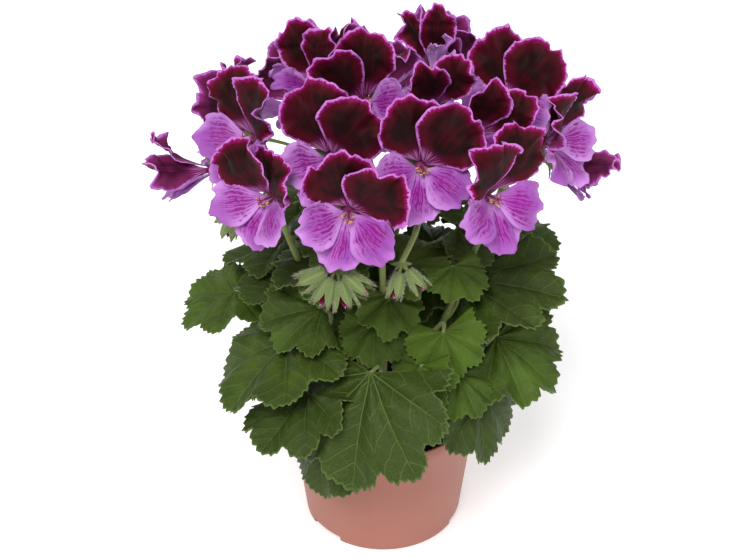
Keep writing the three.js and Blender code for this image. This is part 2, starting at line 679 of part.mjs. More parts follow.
// All the pieces of a shoot: its stem, peduncle and umbel, then its leaves, its flower stalks with their
// calyces, and its buds.
function shootPieces(shoot) {
  const line = shootLine(shoot);
  const hub = new THREE.Vector3(...shoot.umbel);
  const lower = [0, 0.08, 0.16, 0.3, 0.5].map((share) => line.getPoint(share));
  const upper = [0.45, 0.62, 0.82, 1].map((share) => line.getPoint(share));
  const pieces = [
    stalk(lower, STEM.woodyRadius, 6, 4),
    stalk(upper, STEM.peduncleRadius, 5, 3),
    solidOf(new THREE.OctahedronGeometry(STEM.umbelRadius, 0)).translate(hub.toArray()),
  ];
  LEAVES.filter((leaf) => leaf[0] === shoot.name).forEach((leaf) => {
    pieces.push(petiole(line, leaf), leafBlade(leaf));
  });
  BLOOMS.filter((bloom) => bloom[0] === shoot.name).forEach((bloom) => {
    const facing = direction(bloom[2], bloom[3]);
    const end = new THREE.Vector3(...bloom[1]).addScaledVector(facing, -3.2);
    pieces.push(pedicel(hub, end, facing), placed(calyx(), bloomFrame(bloom), bloom[6]));
  });
  Object.entries(YOUNG_CLUSTERS).forEach(([name, [owner, bend, place]]) => {
    if (owner !== shoot.name) return;
    const cluster = new THREE.Vector3(...place);
    pieces.push(stalk([hub, new THREE.Vector3(...bend), cluster], STEM.clusterRadius, 4, 3));
    const clusterHub = new THREE.OctahedronGeometry(STEM.clusterHubRadius, 0);
    pieces.push(solidOf(clusterHub).translate(cluster.toArray()));
    BUDS.filter((bud) => bud[0] === name).forEach(([, azimuth, elevation, reach, scale]) => {
      const facing = direction(azimuth, elevation);
      const base = cluster.clone().addScaledVector(facing, reach);
      pieces.push(placed(budSolid(reach / scale), frameAt(base, facing, 0), scale));
    });
  });
  return pieces;
}

function makeShoot(shoot) {
  return largestBody(union(shootPieces(shoot))).simplify(SLIVER);
}

const materials = Object.fromEntries(
  Object.entries(COLOURS).map(([name, color]) => [
    name,
    new THREE.MeshStandardMaterial({ color, roughness: name === "pot" ? 0.5 : 0.8, metalness: 0 }),
  ]),
);

const plant = new THREE.Group();

function addNode(name, solid, material) {
  const mesh = new THREE.Mesh(geometryOf(solid), materials[material]);
  mesh.name = name;
  plant.add(mesh);
}

addNode("pot", makePot(), "pot");
addNode("soil", makeSoil(), "soil");
SHOOTS.forEach((shoot) => addNode(`shoot_${shoot.name}`, makeShoot(shoot), "green"));
BLOOMS.forEach((bloom, index) => {
  const label = String(index + 1).padStart(2, "0");
  addNode(`bloom_${label}_upper`, makeUpperPetals(bloom, index), "dark");
  addNode(`bloom_${label}_lower`, makeLowerPetals(bloom, index), "pale");
});

export default plant;
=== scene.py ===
import functools
import math
import random
from dataclasses import dataclass, replace
from typing import Callable

import bmesh
import bpy
import numpy as np
from mathutils import Matrix, Vector


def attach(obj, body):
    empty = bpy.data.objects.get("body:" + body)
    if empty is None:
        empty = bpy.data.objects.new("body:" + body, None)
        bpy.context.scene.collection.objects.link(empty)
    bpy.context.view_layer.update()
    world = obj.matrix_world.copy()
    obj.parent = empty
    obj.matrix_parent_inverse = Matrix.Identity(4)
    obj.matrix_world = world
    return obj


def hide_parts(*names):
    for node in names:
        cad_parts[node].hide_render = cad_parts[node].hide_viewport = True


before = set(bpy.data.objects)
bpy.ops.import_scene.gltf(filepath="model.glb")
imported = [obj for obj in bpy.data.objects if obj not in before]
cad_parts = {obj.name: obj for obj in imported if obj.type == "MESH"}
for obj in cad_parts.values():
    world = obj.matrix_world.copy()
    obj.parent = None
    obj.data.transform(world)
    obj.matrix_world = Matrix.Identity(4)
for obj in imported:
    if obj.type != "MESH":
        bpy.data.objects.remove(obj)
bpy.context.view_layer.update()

bl_info = {
    "name": "Potted Regal Pelargonium",
    "version": (1, 0, 0),
    "blender": (4, 5, 0),
    "location": "3D View > Sidebar > Pelargonium",
    "description": "Builds a regal pelargonium in a nursery pot, piece by piece",
    "category": "Add Mesh",
}

# Lengths below are in millimetres, angles in degrees, and the plant's front faces -Y.
MM = 0.001
BODY = "root"
SEED = 4821

# Each kind of piece draws its own random numbers, from the seed plus this and the piece's number.
DRAWS = {"stems": 100, "buds": 200, "calyces": 300, "stamens": 500}

POT = {
    "base_radius": 50.0,
    "rim_radius": 60.0,
    "height": 86.0,
    "wall": 1.6,
    "floor": 2.2,
    "rim_band": 9.0,
    "rim_step": 1.2,
    "edge": 1.5,
    "columns": 160,
}
NOTCH = {"height": 4.5, "depth": 4.0, "width": 25.0, "azimuths": (-137.5, -17.5, 102.5)}
SOIL = {"below_rim": 11.0, "mound": 5.0, "bottom": 50.0, "gap": 0.5, "columns": 120, "rings": 46}

STEM = {"woody": 3.4, "peduncle": 1.9, "cluster": 1.5, "pedicel": 1.15, "petiole": 1.3}
CROWN_RADIUS = 15.0
HOLE_DEPTH = 34.0

# The petals of each half of a flower: the blade's outline when flat, how far it is cupped, ruffled,
# crimped and folded, how its waves shift from flower to flower and side to side, and its grid.
PETALS = {
    "upper": {
        "length": 45.0,
        "width": 39.0,
        "claw": 0.9,
        "round": 0.3,
        "cup": 4.0,
        "ruffle": 4.0,
        "crimp": 3.0,
        "fold": 5.4,
        "flower_step": 1.7,
        "side_step": 1.0,
        "cells": (26, 24),
        "quick_cells": (14, 12),
    },
    "lower": {
        "length": 32.5,
        "width": 26.5,
        "claw": 0.8,
        "round": 0.32,
        "cup": 2.5,
        "ruffle": 2.4,
        "crimp": 1.3,
        "fold": 3.8,
        "flower_step": 2.3,
        "side_step": 1.9,
        "cells": (20, 20),
        "quick_cells": (12, 10),
    },
}
PETAL_TURN = {"upper": 28.0, "lower": 116.0, "lower_closed": 122.0}

# The veins of a lower petal, which fork twice. Each set: how many there are to half the petal's width, how
# thick they are, as a share of their spacing, and where along the petal they start and end.
VEINS = ((2.5, 0.06, -0.1, 0.8), (5.0, 0.07, 0.2, 0.9), (9.0, 0.07, 0.34, 0.95))

# How far a petal's edge lifts and how much it frills: free, or laid over or under the next petal. The
# petals that lie over start nearer the axis, and some are tucked in or out by a few degrees.
FREE = {"lift": 1.0, "frill": 1.0}
OVER = {"lift": 1.5, "frill": 0.2}
UNDER = {"lift": -0.4, "frill": 0.2}
CLAW_RADIUS = {"over": 2.1, "under": 3.0}
TUCK = {"upper_front": 8.0, "lower_middle": -5.0, "lower_side": 4.0}

# How steeply a petal leaves the receptacle and ends, closed and open, and how wide it is when closed.
PETAL_ANGLES = {
    "upper": {"rise": (80.0, 54.0), "spread": (62.0, -8.0), "width": 0.4},
    "lower": {"rise": (96.0, 50.0), "spread": (106.0, -8.0), "width": 0.1},
}
FULL_WIDTH_AT = 0.9
HUB_TOP = 2.6

# The sepals behind a flower, which start below its receptacle and reach out past it.
CALYX = {
    "sepals": 5,
    "root": 2.0,
    "below": 3.2,
    "reach": 11.0,
    "tip_height": 2.5,
    "width": 3.4,
    "thickness": 0.35,
    "hairs": 26,
}

# A closed bud: its sepals clasp it with some ease and flare at the tip. Its petals show at the top.
BUD = {
    "sepals": 5,
    "length": 17.0,
    "heart": 1.004,
    "radius": 3.6,
    "stalk": 1.0,
    "clasp": 56.0,
    "ease": 1.12,
    "flare": 3.4,
    "hairs": 90,
    "hair_share": 1.3,
}

# The bracts at the foot of a young cluster and of an umbel: how many, and how long.
BRACTS = {"cluster": (5, 6.5), "umbel": (6, 7.0)}

# A leaf's form, as shares of its reach. Lobes are counted on each side of the middle one.
LEAF = {
    "lobes": 3,
    "lobe_depth": 0.16,
    "basal_shrink": 0.3,
    "sag": 0.16,
    "pleat": 0.125,
    "sway": 0.1,
    "vein_spacing": 0.17,
}

# Hairs are drawn several times thicker than real ones, which would be too fine to show.
HAIR_WIDTH = {"stalk": 0.09, "sepal": 0.13}

# The profiles of small turned parts, as (radius, height) from bottom to top.
UMBEL_KNOB = ((0, -3.4), (1.9, -2.6), (2.9, -0.6), (2.6, 1.2), (1.5, 2.5), (0, 3))
FLOWER_CUP = (
    (0, -6.6), (1.1, -6.4), (1.5, -5.2), (2.1, -3.9), (2.7, -2.6), (2.8, -1.6), (1.5, -0.9), (0, -0.8),
)
RECEPTACLE = ((0, 0.2), (3.4, 0.3), (3.9, 1.2), (3.2, 2.3), (1.8, 2.9), (0, 3.1))
ANTHER = ((0, -1.1), (0.5, -0.8), (0.62, 0), (0.5, 0.8), (0, 1.1))

# The stage, in metres. Each light: its name, the way it comes from, its width in degrees, its strength.
FLOOR = {"radius": 14.0, "glow": 0.3}
SKY_STRENGTH = 0.32
LIGHTS = (
    ("Key", (-0.25, -0.8, 1.1), 25.0, 2.45),
    ("Fill", (0.95, -0.7, 0.6), 70.0, 0.5),
    ("Back", (0.0, 0.9, 0.75), 60.0, 0.9),
)
CAMERA = {"lens": 86.4, "sensor": 36.0, "place": (-0.0053, -0.8918, 0.8030), "tilt": 54.9}

# Settings that many nodes share.
SMOOTH_STEP = {"interpolation_type": "SMOOTHSTEP"}
COLOURS = {"data_type": "RGBA"}

# Each shoot: the azimuth of its foot on the crown's circle, its bend and its umbel.
SHOOTS = {
    "left": (200, (-34, -14, 150), (-66, -26, 258)),
    "upper_left": (155, (-18, 2, 170), (-22, -8, 286)),
    "front": (270, (0, -34, 150), (-2, -48, 262)),
    "top": (65, (14, 6, 170), (30, -4, 286)),
    "right": (-20, (34, -14, 150), (68, -22, 258)),
    "back_left": (120, (-26, 30, 150), (-48, 40, 244)),
    "back": (95, (4, 34, 150), (6, 54, 246)),
    "back_right": (20, (32, 24, 150), (62, 32, 244)),
}

# Each open flower: its shoot, the place of its receptacle, the way it faces (azimuth and elevation),
# its roll, how far it has opened, its scale, and the side of the upper petal that lies in front.
BLOOMS = (
    ("left", (-98, -16, 264), 192, -5, -7, 0.36, 0.9, 1),
    ("left", (-71, -30, 292), 226, 34, -3, 0.88, 0.98, 1),
    ("left", (-60, -61, 275), -132, 14, -4, 0.92, 0.98, -1),
    ("upper_left", (-36, -16, 316), 240, 50, 5, 0.56, 0.9, 1),
    ("upper_left", (-10, -28, 315), -95, 34, 30, 0.8, 0.95, -1),
    ("front", (-29, -61, 299), -92, 32, -10, 0.92, 1, 1),
    ("front", (-19, -90, 285), -90, 14, -15, 0.92, 1, 1),
    ("front", (19, -66, 297), -82, 28, -14, 0.94, 1, 1),
    ("top", (27, -2, 319), -67, 72, 14, 0.3, 0.88, 1),
    ("top", (28, -32, 314), -90, 34, -2, 0.5, 0.85, -1),
    ("top", (50, -40, 301), -76, 40, -40, 0.52, 0.88, -1),
    ("right", (68, -8, 299), -80, 52, -22, 0.85, 1, 1),
    ("right", (54, -68, 280), -52, 18, -4, 1, 1, -1),
    ("right", (90, -12, 280), -34, 20, 6, 0.86, 0.95, -1),
    ("right", (98, 4, 256), -8, -22, 0, 0.38, 0.85, 1),
    ("back_left", (-80, 26, 264), 160, 20, 10, 0.9, 1, 1),
    ("back_left", (-50, 66, 258), 122, 20, -12, 1, 1, -1),
    ("back_left", (-36, 28, 296), 130, 55, 0, 0.9, 0.9, 1),
    ("back", (-2, 84, 248), 94, 14, 8, 1, 1, 1),
    ("back", (0, 50, 272), 94, 48, -14, 0.85, 0.9, -1),
    ("back", (36, 66, 274), 68, 30, 10, 0.95, 1, 1),
    ("back_right", (78, 48, 254), 42, 18, 0, 1, 1, -1),
    ("back_right", (74, 20, 284), 20, 52, -15, 0.9, 0.9, 1),
    ("back_right", (36, 28, 294), 66, 60, 10, 0.85, 0.9, 1),
)

# How the ruffles of some flowers' petals are shifted, so that they clear their neighbours.
RUFFLE_SHIFTS = {
    (1, "upper"): 0.8, (2, "lower"): 1.4, (3, "upper"): 2.1, (4, "lower"): 0.7,
    (4, "upper"): 2.4, (5, "lower"): 2.4, (5, "upper"): 4.0, (6, "lower"): 0.8,
    (6, "upper"): 0.8, (7, "upper"): 2.0, (8, "lower"): 4.0, (8, "upper"): 3.5,
    (11, "lower"): 0.4, (11, "upper"): 4.4, (12, "lower"): 0.4, (12, "upper"): 4.8,
    (13, "upper"): 0.7, (14, "upper"): 4.4, (15, "lower"): 0.4, (15, "upper"): 0.4,
    (16, "upper"): 2.1, (20, "upper"): 1.6, (21, "lower"): 0.7, (21, "upper"): 3.6,
    (22, "upper"): 0.4, (23, "lower"): 0.4, (23, "upper"): 2.8, (24, "upper"): 4.4,
}

# Each young cluster of buds: its shoot, the bend of its stalk and its place.
YOUNG_CLUSTERS = {
    "left": ("left", (-78, -30, 258), (-84, -34, 250)),
    "front_left": ("front", (-16, -74, 263), (-26, -98, 254)),
    "front_right": ("front", (18, -76, 270), (9, -98, 256)),
    "top": ("top", (44, 0, 296), (50, 2, 304)),
}

# Each closed bud: its cluster, the way it points (azimuth and elevation), its stalk and its scale.
BUDS = (
    ("left", -150, -70, 4, 0.9),
    ("left", 165, -35, 4, 0.7),
    ("front_left", -165, -22, 6, 1),
    ("front_left", -125, -48, 7, 0.95),
    ("front_left", -70, -52, 8, 0.9),
    ("front_left", -30, -30, 6, 1),
    ("front_right", -110, -50, 5, 0.85),
    ("front_right", -40, -35, 5, 0.8),
    ("top", 20, 72, 5, 0.85),
    ("top", -60, 60, 5, 0.7),
)

# Each leaf: its shoot, the place where its stalk meets the blade, its reach, the azimuth that its tip
# points to, how far the tip droops, its roll, the angle from lobe to lobe, and its age from 0 to 1.
# A lower leaf on the right that lies in shade has a younger age, so that its paler green lightens it:
# painted light.
LEAVES = (
    ("front", (-8, -71, 161), 70, -112, 53, 12, 35, 0.6),
    ("front", (-32, -56, 134), 34, -108, 48, 10, 36, 0.75),
    ("front", (-35, -70, 104), 34, -118, 72, 7, 44, 0.7),
    ("front", (34, -62, 183), 29, -62, 58, 34, 40, 0.05),
    ("front", (2, -45, 196), 26, -88, 24, -12, 42, 0.15),
    ("front", (-5, -49, 181), 27, -98, 46, 0, 38, 0.3),
    ("front", (21, -68, 163), 28, -112, 62, 16, 42, 0.1),
    ("left", (-57, -41, 162), 55, -136, 22, 13, 45, 0.35),
    ("left", (-92, 17, 156), 38, -154, 14, 3, 47, 0.2),
    ("left", (-36, -42, 186), 38, 184, 6, -24, 36, 0.4),
    ("front", (-45, -64, 140), 46, -130, 18, 15, 36, 0.65),
    ("left", (-30, -18, 208), 40, -150, 12, 0, 44, 0.5),
    ("left", (-68, -6, 138), 44, 190, 54, 0, 38, 0.8),
    ("right", (48, -18, 188), 60, -20, -12, 14, 30, 0.45),
    ("right", (67, -32, 157), 48, -22, 28, 20, 34, 0.25),
    ("right", (56, -53, 136), 46, -76, 56, -30, 40, 0.7),
    ("right", (43, -62, 152), 28, -56, 36, 0, 34, 0.2),
    ("right", (44, 0, 214), 32, -14, 8, 0, 42, 0.5),
    ("right", (62, -4, 132), 40, -6, 64, 0, 40, 0.9),
    ("top", (8, -27, 206), 34, 15, -12, 0, 42, 0.15),
    ("top", (22, 16, 226), 34, 50, 0, 0, 44, 0.5),
    ("upper_left", (-20, 10, 226), 34, 170, 0, 0, 44, 0.5),
    ("back_left", (-58, 31, 188), 46, 150, 22, 0, 44, 0.5),
    ("back_left", (-54, 43, 148), 42, 140, 50, 0, 40, 0.7),
    ("back_left", (-44, 50, 134), 42, 132, 62, 0, 42, 0.9),
    ("back_left", (-36, 32, 216), 38, 136, 10, 0, 42, 0.3),
    ("back", (-30, 60, 176), 42, 118, 36, 0, 40, 0.5),
    ("back", (26, 62, 164), 39, 70, 46, 0, 38, 0.6),
    ("back", (-2, 50, 126), 40, 92, 66, 0, 40, 0.9),
    ("back", (12, 46, 206), 38, 78, 12, 0, 42, 0.35),
    ("back_right", (68, 36, 190), 46, 44, 16, 0, 42, 0.5),
    ("back_right", (66, 29, 168), 34, 26, 38, 0, 36, 0.7),
    ("back_right", (44, 50, 134), 42, 48, 62, 0, 42, 0.85),
    ("upper_left", (-16, -19, 189), 36, -122, 45, 0, 36, 0.6),
    ("upper_left", (-24, -24, 226), 28, -128, 26, 0, 38, 0.55),
    ("right", (40, -37, 212), 25, -56, 24, 0, 38, 0.2),
    ("left", (-60, 0, 178), 32, 172, 10, 0, 44, 0.5),
    ("top", (16, 10, 178), 38, -84, 16, 0, 44, 0.6),
    ("top", (-8, 8, 190), 34, -130, 12, 0, 44, 0.6),
    ("top", (32, 14, 192), 36, 10, 6, 0, 44, 0.5),
    ("right", (35, 4, 160), 34, -58, 18, 0, 44, 0.6),
)


# Geometry helpers


@dataclass
class Sheet:
    """A rectangle of faces that a shape function bends: u runs along its columns, v along its rows."""

    columns: int
    rows: int
    shape: Callable
    finish: int = 0


def direction(azimuth, elevation):
    """The unit vector for an azimuth from +X towards +Y and an elevation above the horizon."""
    flat, rise = math.cos(math.radians(elevation)), math.sin(math.radians(elevation))
    return Vector((math.cos(math.radians(azimuth)) * flat, math.sin(math.radians(azimuth)) * flat, rise))


def basis(x, y, z, origin):
    """The frame with these three axes at origin."""
    matrix = Matrix((x, y, z)).transposed().to_4x4()
    matrix.translation = origin
    return matrix


def frame_at(origin, forward, roll):
    """A frame whose Z looks along forward and whose Y is upright, then rolled about Z."""
    z = forward.normalized()
    upright = Vector((0, 1, 0)) if abs(z.z) > 0.97 else Vector((0, 0, 1))
    x = upright.cross(z).normalized()
    return basis(x, z.cross(x), z, Vector(origin)) @ Matrix.Rotation(math.radians(roll), 4, "Z")


def moved(points, matrix, scale=1.0):
    """An array of points, scaled and then placed by a frame."""
    turn = np.array(matrix.to_3x3())
    return points * scale @ turn.T + np.array(matrix.translation)


def lerp(a, b, share):
    return a + (b - a) * share


def smooth(low, high, value):
    """A smooth step from 0 at low to 1 at high; low may be the larger."""
    share = np.clip((value - low) / (high - low), 0.0, 1.0)
    return share * share * (3.0 - 2.0 * share)


def smooth_line(places, steps):
    """Points along a centripetal curve through the places, evenly many on each span."""
    places = [Vector(place) for place in places]
    before = places[0] * 2 - places[1]
    after = places[-1] * 2 - places[-2]
    knots = [before, *places, after]
    line = []
    spans = len(places) - 1
    for step in range(steps + 1):
        at = step / steps * spans
        span = min(int(at), spans - 1)
        local = at - span
        a, b, c, d = knots[span : span + 4]
        gap_ab, gap_bc, gap_cd = (math.sqrt(max((q - p).length, 1e-6)) for p, q in ((a, b), (b, c), (c, d)))
        leave = ((b - a) / gap_ab - (c - a) / (gap_ab + gap_bc) + (c - b) / gap_bc) * gap_bc
        reach = ((c - b) / gap_bc - (d - b) / (gap_bc + gap_cd) + (d - c) / gap_cd) * gap_bc
        line.append(
            b
            + leave * local
            + (c * 3 - b * 3 - leave * 2 - reach) * local**2
            + (b * 2 - c * 2 + leave + reach) * local**3
        )
    return line


def tube(line, radii, around, finish=0, ripple=0.0):
    """A round stalk along a line, closed at both ends, as a sheet."""
    line = [Vector(point) for point in line]
    last = len(line) - 1
    tangents = [(line[min(i + 1, last)] - line[max(i - 1, 0)]).normalized() for i in range(len(line))]
    side = tangents[0].orthogonal().normalized()
    sides = []
    for tangent in tangents:
        side = (side - tangent * side.dot(tangent)).normalized()
        sides.append(side.copy())
    centres = np.array([line[0], *line, line[-1]])
    first = np.array([sides[0], *sides, sides[-1]])
    along = np.array([tangents[0], *tangents, tangents[-1]])
    second = np.cross(along, first)
    radius = np.interp(np.linspace(0, 1, len(line)), np.linspace(0, 1, len(radii)), radii)
    radius = np.array([0.0, *radius, 0.0])
    rows = len(centres) - 1

    def shape(u, v):
        row = np.rint((v + 1) / 2 * rows).astype(int)
        turn = (u + 1) * math.pi
        girth = radius[row] * (1 + ripple * np.sin(turn * 5 + row * 0.7))
        ring = np.cos(turn)[:, None] * first[row] + np.sin(turn)[:, None] * second[row]
        return centres[row] + girth[:, None] * ring, {}

    return Sheet(around, rows, shape, finish)


def turned_sheet(profile, around, finish=0):
    """A sheet for a body of revolution about Z, from a profile of (radius, height), bottom to top."""
    radii, heights = np.array(profile, dtype=float).T
    rows = len(profile) - 1

    def shape(u, v):
        row = np.rint((v + 1) / 2 * rows).astype(int)
        turn = (u + 1) * math.pi
        return np.column_stack((radii[row] * np.cos(turn), radii[row] * np.sin(turn), heights[row])), {}

    return Sheet(around, rows, shape, finish)


def placed_sheet(sheet, matrix, scale=1.0):
    """The same sheet, scaled and then placed by a frame."""

    def shape(u, v):
        points, marks = sheet.shape(u, v)
        return moved(points, matrix, scale), marks

    return replace(sheet, shape=shape)


def grown(name, sheets, finishes, node, thickness=0.0):
    """One finished piece from its sheets: it stands for node, and marks become attributes."""
    bm = bmesh.new()
    for sheet in sheets:
        bmesh.ops.create_grid(bm, x_segments=sheet.columns, y_segments=sheet.rows, size=1.0)
    mesh = bpy.data.meshes.new(name)
    bm.to_mesh(mesh)
    bm.free()
    flat = np.empty(len(mesh.vertices) * 3, dtype=np.float32)
    mesh.vertices.foreach_get("co", flat)
    flat = flat.reshape(-1, 3)
    places = np.empty((len(flat), 3))
    gathered = {}
    finish_of_face = []
    start = 0
    for sheet in sheets:
        count = (sheet.columns + 1) * (sheet.rows + 1)
        part = slice(start, start + count)
        # The grid's own coordinates are single precision, so each is set to its exact step
        u = np.rint((flat[part, 0].astype(float) + 1) / 2 * sheet.columns) / sheet.columns * 2 - 1
        v = np.rint((flat[part, 1].astype(float) + 1) / 2 * sheet.rows) / sheet.rows * 2 - 1
        places[part], marks = sheet.shape(u, v)
        for mark, values in marks.items():
            gathered.setdefault(mark, []).append(values)
        finish_of_face += [sheet.finish] * (sheet.columns * sheet.rows)
        start += count
    if start != len(flat):
        raise RuntimeError(f"{name}: {start} places for {len(flat)} vertices")
    mesh.vertices.foreach_set("co", (places * MM).astype(np.float32).ravel())
    for mark, parts in gathered.items():
        values = np.concatenate(parts)
        kind = "FLOAT" if values.ndim == 1 else "FLOAT_VECTOR"
        layer = mesh.attributes.new(mark, kind, "POINT")
        layer.data.foreach_set("value" if kind == "FLOAT" else "vector", values.astype(np.float32).ravel())
    mesh.polygons.foreach_set("material_index", finish_of_face)
    return finished(name, mesh, finishes, node, thickness)


def finished(name, mesh, finishes, node, thickness=0.0):
    """Merges a mesh's seams and poles, and sets it up as a piece of the plant."""
    bm = bmesh.new()
    bm.from_mesh(mesh)
    bmesh.ops.remove_doubles(bm, verts=bm.verts, dist=1e-6)
    bmesh.ops.dissolve_degenerate(bm, edges=bm.edges, dist=1e-7)
    for face in bm.faces:
        face.smooth = True
    bm.to_mesh(mesh)
    bm.free()
    for finish in finishes:
        mesh.materials.append(finish)
    piece = bpy.data.objects.new(name, mesh)
    bpy.context.scene.collection.objects.link(piece)
    if thickness:
        wall = piece.modifiers.new("Thickness", "SOLIDIFY")
        wall.thickness = thickness * MM
        wall.offset = -1.0
        wall.material_offset = len(finishes) - 1
        wall.material_offset_rim = 0
    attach(piece, BODY)
    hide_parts(node)
    return piece


# Hairs


def repeated(mesh, count):
    """Makes a small mesh into count copies of itself, one after the other, by doubling."""
    power = mesh.copy()
    whole = bmesh.new()
    while count:
        if count & 1:
            whole.from_mesh(power)
        count >>= 1
        double = bmesh.new()
        double.from_mesh(power)
        double.from_mesh(power)
        double.to_mesh(power)
        double.free()
    whole.to_mesh(mesh)
    whole.free()
    bpy.data.meshes.remove(power)


def hair_coat(name, roots, finish, node):
    """Fine tapering hairs as one piece. Each root is its place, its direction, its length and its width."""
    bm = bmesh.new()
    bmesh.ops.create_cone(bm, cap_ends=False, segments=3, radius1=1.0, radius2=0.0, depth=1.0)
    bmesh.ops.translate(bm, verts=bm.verts, vec=(0, 0, 0.5))
    bmesh.ops.contextual_create(bm, geom=[v for v in bm.verts if v.co.z < 0.25])
    bmesh.ops.recalc_face_normals(bm, faces=bm.faces)
    mesh = bpy.data.meshes.new(name)
    corners = len(bm.verts)
    bm.to_mesh(mesh)
    bm.free()
    repeated(mesh, len(roots))
    flat = np.empty(len(mesh.vertices) * 3, dtype=np.float32)
    mesh.vertices.foreach_get("co", flat)
    flat = flat.reshape(len(roots), corners, 3)
    places, ways, lengths, widths = (np.array(part) for part in zip(*roots))
    ways /= np.linalg.norm(ways, axis=1)[:, None]
    sides = np.cross(ways, np.where(np.abs(ways[:, 2:3]) > 0.9, (1.0, 0, 0), (0, 0, 1.0)))
    sides /= np.linalg.norm(sides, axis=1)[:, None]
    others = np.cross(ways, sides)
    lengths, widths = lengths[:, None, None], widths[:, None, None] / 2
    points = (
        places[:, None]
        + flat[:, :, 0:1] * widths * sides[:, None]
        + flat[:, :, 1:2] * widths * others[:, None]
        + flat[:, :, 2:3] * lengths * ways[:, None]
    )
    mesh.vertices.foreach_set("co", (points * MM).astype(np.float32).ravel())
    return finished(name, mesh, [finish], node)


def hairs_on_line(line, radii, density, length, chance):
    """Hair roots standing out all round a stalk, density to the millimetre."""
    roots = []
    widths = np.interp(np.linspace(0, 1, len(line)), np.linspace(0, 1, len(radii)), radii)
    for i in range(len(line) - 1):
        a, b = Vector(line[i]), Vector(line[i + 1])
        span = b - a
        if span.length < 1e-6:
            continue
        tangent = span.normalized()
        side = tangent.orthogonal().normalized()
        other = tangent.cross(side)
        for _ in range(int(span.length * density + chance.random())):
            turn = chance.random() * math.tau
            out = side * math.cos(turn) + other * math.sin(turn)
            share = chance.random()
            place = a + span * share + out * (lerp(widths[i], widths[i + 1], share) - 0.1)
            way = out + tangent * chance.uniform(-0.3, 0.5) + Vector((0, 0, -0.1))
            roots.append((place, way, length * chance.uniform(0.5, 1.25), HAIR_WIDTH["stalk"]))
    return roots


def hairs_on_sheet(sheet, count, length, chance, inside):
    """Hair roots on a sheet, denser towards its side edges, pointing away from the point inside."""
    u = np.array([chance.choice((-1, 1)) * (1 - abs(chance.gauss(0, 0.35)) % 1) for _ in range(count)])
    v = np.array([chance.uniform(-0.95, 1) for _ in range(count)])
    places, _ = sheet.shape(u, v)
    roots = []
    for place in places:
        way = Vector(place - np.array(inside)).normalized()
        way += Vector([chance.uniform(-0.35, 0.35) for _ in range(3)])
        roots.append((place, way, length * chance.uniform(0.5, 1.2), HAIR_WIDTH["sepal"]))
    return roots


# Materials


def srgb(code):
    """A #rrggbb colour as linear RGBA."""
    channels = [int(code[i : i + 2], 16) / 255 for i in (1, 3, 5)]
    linear = [c / 12.92 if c <= 0.04045 else ((c + 0.055) / 1.055) ** 2.4 for c in channels]
    return (*linear, 1.0)


def add(tree, kind, *inputs, **settings):
    """Adds a node with its settings, and its inputs in the order in which the node shows them. An input is
    a value, a socket, a node, which gives its first output, or None to be left as it is."""
    node = tree.nodes.new(f"ShaderNode{kind}")
    for name, value in settings.items():
        setattr(node, name, value)
    shown = [socket for socket in node.inputs if socket.enabled]
    for socket, value in zip(shown, inputs):
        if isinstance(value, bpy.types.Node):
            value = next(output for output in value.outputs if output.enabled)
        if isinstance(value, bpy.types.NodeSocket):
            tree.links.new(value, socket)
        elif value is not None:
            socket.default_value = value
    return node


def new_finish(name, roughness, **sockets):
    """A material with one Principled shader, and the function that adds nodes to it."""
    material = bpy.data.materials.new(name)
    material.use_nodes = True
    shader = material.node_tree.nodes["Principled BSDF"]
    for socket, value in {"Roughness": roughness, **sockets}.items():
        shader.inputs[socket.replace("_", " ")].default_value = value
    return material, functools.partial(add, material.node_tree)


def dressed(material, tint, height=None, strength=0.0, depth=0.0):
    """Gives a material its colour and, where it has any, its relief, depth millimetres deep."""
    tree = material.node_tree
    shader = tree.nodes["Principled BSDF"]
    tree.links.new(tint.outputs[2], shader.inputs["Base Color"])
    if height is not None:
        bump = add(tree, "Bump", strength, depth * MM, None, height)
        tree.links.new(bump.outputs["Normal"], shader.inputs["Normal"])
    return material


def pot_plastic(settings):
    """Moulded polypropylene in a terracotta colour: even and matte, with the faint cloudiness and fine
    grain of a mould-textured wall."""
    material, node = new_finish("Polypropylene_Moulded", 0.5, IOR=1.49, Specular_IOR_Level=0.35)
    place = node("TexCoord").outputs["Object"]
    cloud = node("TexNoise", place, 28.0, 3.0)
    grain = node("TexNoise", place, 1 / (0.9 * MM), 2.0)
    dull, bright = (
        (*(channel * share for channel, share in zip(settings.pot_colour, shares)), 1.0)
        for shares in ((0.94, 0.93, 0.93), (1.05, 1.06, 1.07))
    )
    return dressed(material, node("Mix", cloud, dull, bright, **COLOURS), grain, 0.25, 0.08)


def peat():
    """Damp peat: nearly black brown crumbs, with paler dry fibres here and there."""
    material, node = new_finish("Peat_Damp", 0.95, Specular_IOR_Level=0.2)
    place = node("TexCoord").outputs["Object"]
    crumb = node("TexNoise", place, 1 / (2.5 * MM), 6.0, 0.7)
    share = node("MapRange", crumb, 0.42, 0.72)
    tint = node("Mix", share, srgb("#1d130d"), srgb("#4a3626"), **COLOURS)
    return dressed(material, tint, crumb, 0.9, 1.2)


